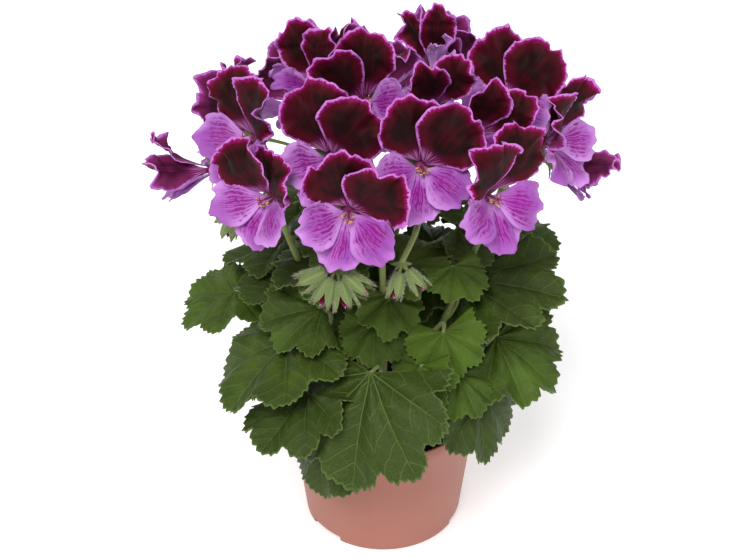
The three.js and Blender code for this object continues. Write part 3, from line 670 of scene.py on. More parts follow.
def leaf_tissue(name, young, mature, old, vein, gloss, vein_bump):
    """Living pelargonium leaf: a matte, slightly downy green that dulls with age, with paler sunken veins
    in a fan, side veins like a feather, a fine net between them and pale tips on the teeth."""
    down = {"Sheen_Weight": 0.02, "Sheen_Roughness": 0.5, "Sheen_Tint": srgb("#c9d6a8")}
    material, node = new_finish(name, gloss, Specular_IOR_Level=0.16, **down)
    place = node("TexCoord").outputs["Object"]
    flow = node("Attribute", attribute_name="vein").outputs["Vector"]
    along, beside, share = node("SeparateXYZ", flow).outputs
    age = node("Attribute", attribute_name="tone").outputs["Fac"]
    drift = node("Math", node("TexNoise", place, 1 / (9 * MM), 2.0), -0.5, operation="ADD")

    # Main veins: one along each lobe, tapering to the edge
    taper = node("Math", share, 0.04, beside, operation="MULTIPLY_ADD")
    main = node("Math", drift, 0.03, taper, operation="MULTIPLY_ADD")
    main = node("MapRange", main, 0.078, 0.03, **SMOOTH_STEP)

    # Side veins: a herringbone that leaves the main veins at about 45 degrees
    slant = node("Math", along, beside, operation="SUBTRACT")
    bent = node("Math", drift, 0.4, slant, operation="MULTIPLY_ADD")
    off = node("Math", node("Math", bent, operation="FRACT"), -0.5, operation="ADD")
    off = node("Math", off, operation="ABSOLUTE")
    side_vein = node("MapRange", off, 0.055, 0.012, 0.0, 0.6, **SMOOTH_STEP)
    lines = node("Math", main, side_vein, operation="MAXIMUM")

    # The fine net between the veins
    net = node("TexVoronoi", flow, 4.0, feature="DISTANCE_TO_EDGE")
    net = node("MapRange", net, 0.1, 0.0, 0.0, 0.22, **SMOOTH_STEP)
    pattern = node("Math", lines, net, operation="MAXIMUM")

    patch = node("TexNoise", place, 1 / (20 * MM), 4.0)
    aged = node("Math", patch, 1.0, node("Math", age, -0.15, operation="ADD"), operation="MULTIPLY_ADD")
    fresh = node("Mix", node("MapRange", aged, 0.35, 0.85, **SMOOTH_STEP), young, mature, **COLOURS)
    blade = node("Mix", node("MapRange", aged, 0.95, 1.3, **SMOOTH_STEP), fresh, old, **COLOURS)
    tooth = node("MapRange", share, 0.965, 1.0, 0.0, 0.55, **SMOOTH_STEP)
    tipped = node("Mix", tooth, blade, vein, **COLOURS)
    tint = node("Mix", node("Math", pattern, 0.6, operation="MULTIPLY"), tipped, vein, **COLOURS)
    fuzz = node("TexNoise", place, 1 / (0.8 * MM), 2.0)
    relief = node("Math", pattern, vein_bump, fuzz, operation="MULTIPLY_ADD")
    return dressed(material, tint, relief, 0.5, 0.4)


def stem_tissue():
    """Downy green stalk: soft yellow-green, blushed with brown-red in places."""
    down = {"Sheen_Weight": 0.25, "Sheen_Roughness": 0.5, "Sheen_Tint": srgb("#dfe6c8")}
    material, node = new_finish("Stem_Downy", 0.6, Specular_IOR_Level=0.3, **down)
    place = node("TexCoord").outputs["Object"]
    patch = node("TexNoise", place, 1 / (14 * MM), 4.0)
    share = node("MapRange", patch, 0.35, 0.7)
    tint = node("Mix", share, srgb("#84954f"), srgb("#6f7440"), **COLOURS)
    return dressed(material, tint, patch, 0.2, 0.3)


def sepal_tissue():
    """Hairy sepal: grey-green with paler raised ribs and a brownish tip."""
    down = {"Sheen_Weight": 0.3, "Sheen_Roughness": 0.5, "Sheen_Tint": srgb("#e6ead2")}
    material, node = new_finish("Sepal_Hairy", 0.62, Specular_IOR_Level=0.3, **down)
    flow = node("Attribute", attribute_name="flow").outputs["Vector"]
    across, along, _ = node("SeparateXYZ", flow).outputs
    wave = node("Math", node("Math", across, 6.0, operation="MULTIPLY"), operation="COSINE")
    light = node("MapRange", wave, 0.0, 1.0, 0.0, 0.6)
    green = node("Mix", light, srgb("#6b7c45"), srgb("#82925a"), **COLOURS)
    tip = node("MapRange", along, 0.8, 1.0)
    return dressed(material, node("Mix", tip, green, srgb("#6b4a3c"), **COLOURS), wave, 0.3, 0.25)


def petal_marks(node):
    """A petal's place across and along it and its distance from the edge, and streaks along the petal."""
    flow = node("Attribute", attribute_name="flow").outputs["Vector"]
    streak_at = node("VectorMath", flow, (11.0, 1.3, 0.04), operation="MULTIPLY")
    return node("SeparateXYZ", flow).outputs, node("TexNoise", streak_at, 1.0, 4.0)


def upper_petal_face(back=False):
    """Upper petal: brown-black maroon velvet that reddens outwards, feathers through crimson-magenta into
    a thin scalloped lilac edge, and has pale curved streaks down in the throat. The back is duskier."""
    name = "Upper_Petal_Back" if back else "Upper_Petal_Velvet"
    if name in bpy.data.materials:
        return bpy.data.materials[name]
    nap = {"Sheen_Weight": 0.03, "Sheen_Roughness": 0.4, "Sheen_Tint": srgb("#a8705c")}
    material, node = new_finish(name, 0.6, Specular_IOR_Level=0.09, **nap)
    # Each pair is the face's colour and the back's
    black, maroon, crimson, magenta, lilac = (
        srgb(pair[back])
        for pair in (
            ("#220b0a", "#451330"),
            ("#3e0510", "#651b45"),
            ("#52081c", "#7a2658"),
            ("#8f0a5a", "#93357e"),
            ("#cb79d3", "#bb72c4"),
        )
    )
    place = node("TexCoord").outputs["Object"]
    (_, along, rim), streak = petal_marks(node)
    # A fringe that runs square to the petal's edge
    margin = node("Attribute", attribute_name="margin").outputs["Vector"]
    fringe_at = node("VectorMath", margin, (1.1, 0.16, 9.0), operation="MULTIPLY")
    fringe = node("TexNoise", fringe_at, 1.0, 3.0)
    cloud = node("TexNoise", place, 1 / (13 * MM), 2.0)
    feather = node("Math", streak, 3.0, -1.5, operation="MULTIPLY_ADD")
    feather = node("Math", feather, rim, operation="ADD")
    fringed = node("Math", fringe, -0.5, operation="ADD")
    fringed = node("Math", fringed, -3.2, feather, operation="MULTIPLY_ADD")

    shade = node("Math", streak, node("Math", cloud, -0.5, operation="ADD"), operation="ADD")
    shade = node("MapRange", shade, 0.42, 0.72, **SMOOTH_STEP)
    velvet = node("Mix", shade, black, maroon, **COLOURS)
    redness = node("MapRange", feather, 9.0, 3.0, 0.0, 0.85, **SMOOTH_STEP)
    red = node("Mix", redness, velvet, crimson, **COLOURS)
    inward = node("Math", 1.0, along, operation="SUBTRACT")
    banded = node("Math", inward, 3.0, fringed, operation="MULTIPLY_ADD")
    band = node("Mix", node("MapRange", banded, 4.0, 1.5, **SMOOTH_STEP), red, magenta, **COLOURS)
    edge = node("Math", fringe, -3.0, rim, operation="MULTIPLY_ADD")
    edged = node("Mix", node("MapRange", edge, -0.1, -0.75, **SMOOTH_STEP), band, lilac, **COLOURS)

    # The throat: a magenta ground with a comb of pale curved streaks
    throat = node("MapRange", along, 0.36, 0.12, 0.0, 0.85, **SMOOTH_STEP)
    ground = node("Mix", throat, edged, srgb("#7d1660"), **COLOURS)
    comb = node("MapRange", streak, 0.5, 0.58, **SMOOTH_STEP)
    deep = node("MapRange", along, 0.3, 0.14, 0.0, 0.8, **SMOOTH_STEP)
    deep = node("Math", deep, comb, operation="MULTIPLY")
    return dressed(material, node("Mix", deep, ground, srgb("#d69fd4"), **COLOURS), streak, 0.6, 0.6)


def lower_petal_face(settings, back=False):
    """Lower petal: orchid pink, paler at the margin, with magenta veins that fan out of the claw, fork
    twice, swell into a darker feathered middle and break into flecks further out."""
    name = "Lower_Petal_Back" if back else "Lower_Petal_Orchid"
    nap = {"Sheen_Weight": 0.12, "Sheen_Roughness": 0.5, "Sheen_Tint": srgb("#f3d3f0")}
    material, node = new_finish(name, 0.55, Specular_IOR_Level=0.3, **nap)
    if back:
        margin, inside, ink_share, blush_share = srgb("#b986c8"), srgb("#b885cb"), 0.3, 0.25
    else:
        margin, inside, ink_share, blush_share = srgb("#cb8cd9"), (*settings.lower_colour, 1.0), 0.95, 0.85
    place = node("TexCoord").outputs["Object"]
    (across, along, rim), streak = petal_marks(node)
    drift = node("Math", node("TexNoise", place, 1 / (7 * MM), 2.0), -0.5, operation="ADD")
    fleck = node("TexNoise", place, 1 / (2.2 * MM), 2.0)
    thinning = node("Math", fleck, -0.5, 0.25, operation="MULTIPLY_ADD")
    swept = node("Math", drift, 0.3, across, operation="MULTIPLY_ADD")

    # The feathered middle, where the veins are thickest
    reach = node("Math", node("Math", along, -0.45, operation="ADD"), operation="ABSOLUTE")
    sideways = node("Math", across, operation="ABSOLUTE")
    sideways = node("Math", sideways, 0.45, reach, operation="MULTIPLY_ADD")
    away = node("Math", drift, 0.5, sideways, operation="MULTIPLY_ADD")
    middle = node("MapRange", away, 0.42, 0.08, **SMOOTH_STEP)

    veins = None
    for lines, width, starts, ends in VEINS:
        spread = node("Math", swept, lines, 0.5, operation="MULTIPLY_ADD")
        cell = node("Math", node("Math", spread, operation="FRACT"), -0.5, operation="ADD")
        off = node("Math", node("Math", cell, operation="ABSOLUTE"), thinning, operation="ADD")
        off = node("Math", middle, -0.075, off, operation="MULTIPLY_ADD")
        line = node("MapRange", off, width * 1.9, width * 0.7, **SMOOTH_STEP)
        coming = node("MapRange", along, starts, starts + 0.12, **SMOOTH_STEP)
        going = node("MapRange", along, ends, ends - 0.22, **SMOOTH_STEP)
        window = node("Math", coming, going, operation="MULTIPLY")
        drawn = node("Math", line, window, operation="MULTIPLY")
        veins = drawn if veins is None else node("Math", veins, drawn, operation="MAXIMUM")
    clear = node("TexNoise", place, 1 / (8 * MM), 3.0)
    clear = node("Math", middle, 0.25, clear, operation="MULTIPLY_ADD")
    clear = node("MapRange", clear, 0.36, 0.56, **SMOOTH_STEP)
    veins = node("Math", veins, clear, operation="MULTIPLY")
    ink = node("MapRange", rim, 0.8, 3.0, 0.0, ink_share, **SMOOTH_STEP)
    ink = node("Math", veins, ink, operation="MULTIPLY")

    ground = node("Mix", node("MapRange", rim, 0.3, 7.0, **SMOOTH_STEP), margin, inside, **COLOURS)
    # Broad patches darkened to a deeper purple: partly the petals' own colour, partly painted shade.
    mood = node("TexNoise", place, 1 / (34 * MM), 1.0)
    dim = node("MapRange", mood, 0.46, 0.62, 0.0, 0.75, **SMOOTH_STEP)
    dusk = node("Mix", dim, ground, srgb("#933fa3"), **COLOURS)
    flush = node("MapRange", mood, 0.3, 0.6, **SMOOTH_STEP)
    flush = node("Math", flush, middle, operation="MULTIPLY")
    blush = node("Math", flush, blush_share, operation="MULTIPLY")
    flushed = node("Mix", blush, dusk, srgb("#a22fae"), **COLOURS)
    return dressed(material, node("Mix", ink, flushed, srgb("#820875"), **COLOURS), streak, 0.3, 0.5)


def plain_tissue(name, colour, roughness, grain):
    """Small smooth flower parts, such as filaments, anthers and styles: one colour, a little mottled."""
    material, node = new_finish(name, roughness, Specular_IOR_Level=0.3)
    patch = node("TexNoise", node("TexCoord").outputs["Object"], 1 / (grain * MM), 2.0)
    dark = (*(channel * 0.75 for channel in colour[:3]), 1.0)
    return dressed(material, node("Mix", patch, dark, colour, **COLOURS))


# Settings


def colour_setting(name, description, default):
    return bpy.props.FloatVectorProperty(
        name=name, description=description, subtype="COLOR", size=3, min=0.0, max=1.0, default=default
    )


def length_setting(name, description, low, high, default):
    return bpy.props.FloatProperty(
        name=name,
        description=f"{description}, in metres",
        subtype="DISTANCE",
        unit="LENGTH",
        min=low,
        max=high,
        default=default,
    )


class PelargoniumSettings(bpy.types.PropertyGroup):
    """Sizes and colours of the plant, its pot and the stage."""

    pot_colour: colour_setting("Pot Colour", "Colour of the pot's plastic", srgb("#a86c5e")[:3])
    lower_colour: colour_setting(
        "Lower Petals", "Ground colour of the three lower petals", srgb("#a85cb6")[:3]
    )
    petal_thickness: length_setting("Petal Thickness", "Thickness of a petal", 0.0002, 0.001, 0.00045)
    leaf_thickness: length_setting("Leaf Thickness", "Thickness of a leaf blade", 0.0003, 0.001, 0.0006)
    tooth_width: length_setting(
        "Tooth Width", "Spacing of the teeth along a large leaf's edge", 0.002, 0.008, 0.0038
    )
    hair_length: length_setting(
        "Hair Length", "Length of the hairs on stems and buds", 0.0003, 0.004, 0.0015
    )
    hair_density: bpy.props.FloatProperty(
        name="Hair Density",
        description="Hairs to each millimetre of stalk",
        min=0.0,
        max=12.0,
        default=3.2,
    )
    floor_colour: colour_setting("Floor Colour", "Colour of the plain floor", (0.92, 0.92, 0.92))


def plant_settings(context):
    return context.scene.pelargonium


# Pot and soil


def wall_radius(height):
    """The pot's outer radius below its rim band."""
    slope = (POT["rim_radius"] - POT["rim_step"] - POT["base_radius"]) * height
    return POT["base_radius"] + slope / (POT["height"] - POT["rim_band"])


def inner_radius(height):
    low = wall_radius(POT["floor"]) - POT["wall"]
    share = (height - POT["floor"]) / (POT["height"] - POT["floor"])
    return low + (POT["rim_radius"] - POT["wall"] - low) * share


def pot_sheet():
    """The pot's whole skin: underside, notched lower edge, wall, rounded rim, inside and floor."""
    top, band = POT["height"], POT["height"] - POT["rim_band"]
    edge, rim, wall = POT["edge"], POT["rim_radius"], POT["wall"]
    base, high = POT["base_radius"], NOTCH["height"]
    deep = base - NOTCH["depth"]
    # Each row is its radius and height, then the same inside a notch.
    rows = [
        ((0, 0), (0, 0)),
        ((deep * 0.6, 0.0), (deep * 0.6, 0.0)),
        ((deep - 0.2, 0), (deep - 0.2, 0)),
        ((deep, 0), (deep, 0.2)),
        ((deep + 0.3, 0), (deep, high - 0.3)),
        ((base - edge, 0), (deep + 0.3, high)),
        ((base - edge * 0.35, edge * 0.3), (wall_radius(high) - 0.3, high)),
        ((wall_radius(edge), edge), (wall_radius(high + 0.3), high + 0.3)),
    ]
    plain = [
        (wall_radius(high + 1.5), high + 1.5),
        (wall_radius(band * 0.35), band * 0.35),
        (wall_radius(band * 0.7), band * 0.7),
        (wall_radius(band - 0.9), band - 0.9),
        (wall_radius(band) + 0.15, band - 0.25),
        (rim - 0.35, band + 0.1),
        (rim, band + 0.6),
        (rim, top - 0.8),
        (rim - 0.25, top - 0.2),
        (rim - 0.8, top),
        (rim - wall + 0.4, top - 0.15),
        (rim - wall, top - 0.8),
        (inner_radius(top * 0.6), top * 0.6),
        (inner_radius(POT["floor"] + 1), POT["floor"] + 1),
        (inner_radius(POT["floor"]) - 1, POT["floor"]),
        (0, POT["floor"]),
    ]
    rows += [(row, row) for row in plain]
    flat = np.array([row[0] for row in rows], dtype=float)
    notched = np.array([row[1] for row in rows], dtype=float)
    half = math.degrees(math.asin(NOTCH["width"] / 2 / base))
    turns = list(np.linspace(0, 360, POT["columns"] - 6 * 3, endpoint=False))
    for azimuth in NOTCH["azimuths"]:
        for side in (-1, 1):
            turns += [(azimuth + side * half + shift) % 360 for shift in (-0.5, 0, 0.5)]
    turns = np.array(sorted(turns) + [sorted(turns)[0] + 360])

    def shape(u, v):
        row = np.rint((v + 1) / 2 * (len(rows) - 1)).astype(int)
        turn = turns[np.rint((u + 1) / 2 * POT["columns"]).astype(int)]
        inside = np.zeros(len(u), dtype=bool)
        for azimuth in NOTCH["azimuths"]:
            off = np.abs((turn - azimuth + 180) % 360 - 180)
            inside |= off < half - 0.25
        place = np.where(inside[:, None], notched[row], flat[row])
        angle = np.radians(turn)
        return np.column_stack((place[:, 0] * np.cos(angle), place[:, 0] * np.sin(angle), place[:, 1])), {}

    return Sheet(POT["columns"], len(rows) - 1, shape)


class PELARGONIUM_OT_pot(bpy.types.Operator):
    """Add the pot: a tapered cup with a rolled rim and three drainage notches"""

    bl_idname = "pelargonium.pot"
    bl_label = "Pot"

    def execute(self, context):
        finish = pot_plastic(plant_settings(context))
        grown("Pot", [pot_sheet()], [finish], "pot")
        return {"FINISHED"}


def soil_sheet():
    """The soil: a crumbly mound down to below where it can be seen."""
    top = POT["height"] - SOIL["below_rim"]
    radius = inner_radius(top) - SOIL["gap"]

    def shape(u, v):
        turn = (u + 1) * math.pi
        share = (v + 1) / 2
        inward = np.clip((share - 0.12) / 0.88, 0, 1)
        below = inner_radius(SOIL["bottom"]) - SOIL["gap"]
        out = np.where(share < 0.1, np.minimum(share / 0.06, 1) * below, (1 - inward) * radius)
        x, y = out * np.cos(turn), out * np.sin(turn)
        mound = top + SOIL["mound"] * (1 - (out / radius) ** 2)
        crumbs = (
            0.9 * np.sin(x * 0.9 + y * 0.4) * np.cos(y * 0.8 - x * 0.3)
            + 0.5 * np.sin(x * 2.3 - y * 1.7) * np.sin(y * 2.6 + x * 0.9)
            + 0.3 * np.sin(x * 4.9 + y * 3.1) * np.cos(y * 5.3 - x * 2.2)
        ) * np.minimum(1, inward * 8)
        z = np.where(share < 0.1, SOIL["bottom"], mound + crumbs)
        return np.column_stack((x, y, z)), {}

    return Sheet(SOIL["columns"], SOIL["rings"], shape)


class PELARGONIUM_OT_soil(bpy.types.Operator):
    """Add the mounded, crumbly soil in the pot"""

    bl_idname = "pelargonium.soil"
    bl_label = "Soil"

    def execute(self, context):
        grown("Soil", [soil_sheet()], [peat()], "soil")
        return {"FINISHED"}


# Leaves


def leaf_frame(leaf):
    _, at, _, azimuth, droop, roll, _, _ = leaf
    tip = direction(azimuth, -droop)
    side = tip.cross(Vector((0, 0, 1))).normalized()
    return basis(side, tip, side.cross(tip), Vector(at)) @ Matrix.Rotation(math.radians(roll), 4, "Y")


def leaf_sheet(leaf, tooth_width):
    """A lobed, toothed and pleated blade. It keeps, for each point, how far it lies along and beside its
    lobe's main vein, in side-vein spacings, and its share of the way out to the edge."""
    _, _, reach, _, _, _, fan, age = leaf
    index = LEAVES.index(leaf)
    wave = index * 1.3
    chance = random.Random(SEED + index)
    lobes = LEAF["lobes"]
    edge_length = reach * 0.8 * math.radians(fan * lobes * 2)
    teeth = max(30, round(edge_length / (tooth_width * (0.72 + 0.28 * reach / 70))))
    bite = np.array([chance.uniform(0.75, 1.3) for _ in range(teeth + 1)])
    steps = 4
    columns = teeth * steps
    matrix = leaf_frame(leaf)
    spacing = reach * LEAF["vein_spacing"]

    def shape(u, v):
        share = 1 - (1 - (v + 1) / 2) ** 1.35
        lobe = u * lobes
        at = (u + 1) / 2 * teeth
        tooth = np.minimum(np.floor(at + 1e-6).astype(int), teeth)
        phase = np.clip(at - tooth, 0, 1)
        point = (1 - np.abs(2 * phase - 1)) ** 0.85
        valley = np.sin(math.pi * lobe) ** 2
        notch = 1 - np.abs(np.cos(math.pi * lobe)) ** 0.6
        basal = 1 - LEAF["basal_shrink"] * (np.abs(lobe) / lobes) ** 1.5
        radius = reach * basal * (1 - LEAF["lobe_depth"] * notch) * share
        radius *= 1 + 0.014 * np.cos(math.tau * 3 * lobe + wave) * share**4
        radius += share**10 * (point * bite[tooth] - 0.5) * (1.0 + 1.5 * reach / 70)
        turn = np.radians(lobe * fan)
        off = np.radians((lobe - np.rint(lobe)) * fan)
        along = radius * np.cos(off) / spacing
        beside = radius * np.abs(np.sin(off)) / spacing
        height = reach * (
            LEAF["sway"] * share**3 * np.sin(lobe * 1.9 + wave)
            - LEAF["sag"] * share**2
            + LEAF["pleat"] * share * valley
            + 0.03 * share**3 * np.sin(lobe * 5.3 + wave * 2)
            + 0.018 * share**6 * np.sin(lobe * 12.0 + wave * 3)
        )
        pillow = np.abs(np.sin(math.pi * (along - beside))) ** 0.7
        height += reach * 0.02 * pillow * smooth(0.12, 0.4, share)
        height -= (0.3 + reach * 0.012) * np.exp(-((beside / 0.16) ** 2)) * smooth(0.0, 0.15, share)
        points = np.column_stack((radius * np.sin(turn), radius * np.cos(turn), height))
        marks = {
            "vein": np.column_stack((along, beside, share)),
            "tone": np.full(len(u), age),
        }
        return moved(points, matrix), marks

    return Sheet(columns, 13, shape)


class PELARGONIUM_OT_leaves(bpy.types.Operator):
    """Add the lobed leaves of each shoot"""

    bl_idname = "pelargonium.leaves"
    bl_label = "Leaves"

    def execute(self, context):
        settings = plant_settings(context)
        # Each side's young, mature and old green and its veins, its roughness and how far its veins rise
        face, back = (
            leaf_tissue(name, *(srgb(code) for code in greens), gloss, rise)
            for name, greens, gloss, rise in (
                ("Leaf_Face", ("#4d661c", "#364716", "#3f4d29", "#6c8043"), 0.46, -3.4),
                ("Leaf_Underside", ("#62723c", "#516036", "#4f5b3b", "#7b8857"), 0.7, 3.0),
            )
        )
        spacing, thickness = settings.tooth_width / MM, settings.leaf_thickness / MM
        for shoot in SHOOTS:
            sheets = [leaf_sheet(leaf, spacing) for leaf in LEAVES if leaf[0] == shoot]
            grown(f"Leaves_{shoot}", sheets, [face, back], f"shoot_{shoot}", thickness)
        return {"FINISHED"}


# Stems


def shoot_line(shoot, steps=60):
    azimuth, bend, umbel = SHOOTS[shoot]
    ground = direction(azimuth, 0) * CROWN_RADIUS
    heights = (POT["height"] - HOLE_DEPTH + 0.35, POT["height"] - 14, POT["height"] - 4)
    feet = [Vector((ground.x, ground.y, height)) for height in heights]
    return smooth_line([*feet, bend, umbel], steps)


def petiole_line(shoot, leaf):
    """The stalk leaves the shoot some way below the leaf, and meets the blade from below."""
    matrix = leaf_frame(leaf)
    at = Vector(leaf[1])
    flat = math.hypot(at.x, at.y)
    height = max(POT["height"] + 4, at.z - 0.55 * flat)
    start = [point for point in shoot_line(shoot) if point.z <= height][-1]
    below = matrix @ Vector((0, -4, -8))
    middle = start.lerp(below, 0.5) + Vector((0, 0, -0.08 * flat))
    return smooth_line([start, middle, below, matrix @ Vector((0, 0.4, -0.3))], 15)


def pedicel_line(hub, end, facing):
    behind = end - facing * 8
    middle = hub.lerp(behind, 0.6) + Vector((0, 0, 2))
    return smooth_line([hub, middle, end], 12)


def shoot_stalks(shoot):
    """Every stalk of a shoot, as its line and its radii from foot to tip."""
    line = shoot_line(shoot)
    hub = Vector(SHOOTS[shoot][2])
    # The woody foot overlaps the green peduncle by a few steps near the bend
    stalks = [
        (line[:32], (STEM["woody"], STEM["woody"] * 0.9, STEM["peduncle"])),
        (line[28:], (STEM["peduncle"],)),
    ]
    petiole = (STEM["petiole"] * 1.2, STEM["petiole"] * 0.85)
    stalks += [(petiole_line(shoot, leaf), petiole) for leaf in LEAVES if leaf[0] == shoot]
    pedicel = (STEM["pedicel"], STEM["pedicel"] * 0.85, STEM["pedicel"] * 1.25)
    for owner, place, azimuth, elevation, *_ in BLOOMS:
        if owner == shoot:
            facing = direction(azimuth, elevation)
            stalks.append((pedicel_line(hub, Vector(place) - facing * 5, facing), pedicel))
    for owner, bend, place in YOUNG_CLUSTERS.values():
        if owner == shoot:
            stalks.append((smooth_line([hub, bend, place], 12), (STEM["cluster"],)))
    for name, azimuth, elevation, reach, scale in BUDS:
        owner, _, place = YOUNG_CLUSTERS[name]
        if owner == shoot:
            end = Vector(place) + direction(azimuth, elevation) * (reach + 1)
            stalks.append(([Vector(place), end], (BUD["stalk"] * scale,)))
    return stalks


def bract_sheets(centre, facing, count, length):
    """Small pointed bracts round an umbel or a young cluster."""
    sheets = []
    for k in range(count):
        spread = direction(360 * k / count + 20, -35)
        way = (facing * -0.35 + spread).normalized()
        side = way.orthogonal().normalized()
        matrix = basis(side, way, side.cross(way), centre)
        sheets.append(blade_sheet(matrix, length, length * 0.42, 0.12))
    return sheets


def blade_sheet(matrix, length, width, curl):
    """A small pointed blade along +Y of its frame, folded a little along its middle."""

    def shape(u, v):
        share = (v + 1) / 2
        half = width / 2 * (np.sin(math.pi * np.clip(share * 0.86 + 0.1, 0, 1)) ** 0.8)
        half *= np.sqrt(np.clip(1 - share, 0, 1)) ** 0.6
        height = curl * length * (share**2) + np.abs(u) * half * 0.35
        points = np.column_stack((u * half, share * length, height))
        return moved(points, matrix), {"flow": np.column_stack((u, share, half))}

    return Sheet(6, 10, shape)


class PELARGONIUM_OT_stems(bpy.types.Operator):
    """Add the woody stems, peduncles, leaf stalks and flower stalks, with their hairs"""

    bl_idname = "pelargonium.stems"
    bl_label = "Stems"

    def execute(self, context):
        settings = plant_settings(context)
        finish = stem_tissue()
        down = plain_tissue("Hair_Pale", srgb("#b3bd8e"), 0.5, 8.0)
        length = settings.hair_length / MM
        for number, (shoot, (_, _, umbel)) in enumerate(SHOOTS.items()):
            chance = random.Random(SEED + DRAWS["stems"] + number)
            sheets, roots = [], []
            for line, radii in shoot_stalks(shoot):
                sheets.append(tube(line, radii, 10, ripple=0.03))
                roots += hairs_on_line(line, radii, settings.hair_density, length, chance)
            sheets.append(placed_sheet(turned_sheet(UMBEL_KNOB, 12), Matrix.Translation(Vector(umbel))))
            grown(f"Stems_{shoot}", sheets, [finish], f"shoot_{shoot}")
            hair_coat(f"Stem_Hairs_{shoot}", roots, down, f"shoot_{shoot}")
        return {"FINISHED"}


# Calyces and buds


def sepal_sheet(matrix, scale, turn, reach, lift):
    """One long pointed sepal that leaves the receptacle and bends outwards."""
    cos, sin = math.cos(turn), math.sin(turn)
    root, below = CALYX["root"], CALYX["below"]

    def shape(u, v):
        share = (v + 1) / 2
        half = CALYX["width"] / 2 * (0.75 + 0.5 * np.sin(math.pi * share))
        half = half * np.sqrt(np.clip(1 - share**1.6, 0, 1))
        out = root + (reach - root) * share**1.15
        up = -below + (lift + below) * share**0.75
        across = u * half
        fold = np.abs(u) * half * 0.3
        x = out * cos - across * sin - fold * cos * 0.3
        y = out * sin + across * cos - fold * sin * 0.3
        marks = {"flow": np.column_stack((u, share, half))}
        return moved(np.column_stack((x, y, up + fold)), matrix, scale), marks

    return Sheet(4, 9, shape)


def calyx_sheets(matrix, scale, number):
    chance = random.Random(SEED + DRAWS["calyces"] + number)
    return [
        sepal_sheet(
            matrix,
            scale,
            math.tau * k / CALYX["sepals"] + math.pi / 2,
            CALYX["reach"] * chance.uniform(0.94, 1.05),
            CALYX["tip_height"] * chance.uniform(0.5, 1.1),
        )
        for k in range(CALYX["sepals"])
    ]


def bud_profile(share):
    """The radius of a bud along its length, as a share of its greatest."""
    places = (0, 0.06, 0.18, 0.35, 0.55, 0.75, 0.9, 1)
    return np.interp(share, places, (0.3, 0.7, 0.92, 1, 0.92, 0.66, 0.34, 0.0))


def bud_sepal_sheet(matrix, scale, turn, openness):
    """One sepal that clasps a bud, free towards its tip."""

    def shape(u, v):
        share = (v + 1) / 2
        width = math.radians(BUD["clasp"]) * np.clip(1 - share**2.2, 0, 1) ** 0.8
        width = width * (1 - 0.25 * openness * share)
        radius = BUD["radius"] * BUD["ease"] * bud_profile(share * 0.9) + 0.3
        radius = radius + openness * BUD["flare"] * share**1.8 + 0.3 * (1 - np.abs(u))
        angle = turn + u * width
        points = np.column_stack(
            (radius * np.cos(angle), radius * np.sin(angle), share * BUD["length"] * 1.02)
        )
        return moved(points, matrix, scale), {"flow": np.column_stack((u, share, share))}

    return Sheet(8, 14, shape)


def bud_heart_sheet(matrix, scale):
    """The furled dark petals inside a bud, twisted to a point."""

    def shape(u, v):
        share = (v + 1) / 2
        turn = (u + 1) * math.pi
        radius = BUD["radius"] * bud_profile(share) * (0.86 + 0.1 * np.cos(turn * 3 + share * 5))
        radius = radius * (share > 0)
        rim = (1 - share) * 16
        height = share * BUD["length"] * BUD["heart"]
        marks = {
            "flow": np.column_stack((np.sin(turn), 0.5 + share * 0.5, rim)),
            "margin": np.column_stack((turn * 3, rim, share)),
        }
        points = np.column_stack((radius * np.cos(turn), radius * np.sin(turn), height))
        return moved(points, matrix, scale), marks

    return Sheet(15, 14, shape)


def bud_frame(bud):
    name, azimuth, elevation, reach, scale = bud
    facing = direction(azimuth, elevation)
    place = Vector(YOUNG_CLUSTERS[name][2]) + facing * reach
    return frame_at(place, facing, 0), scale


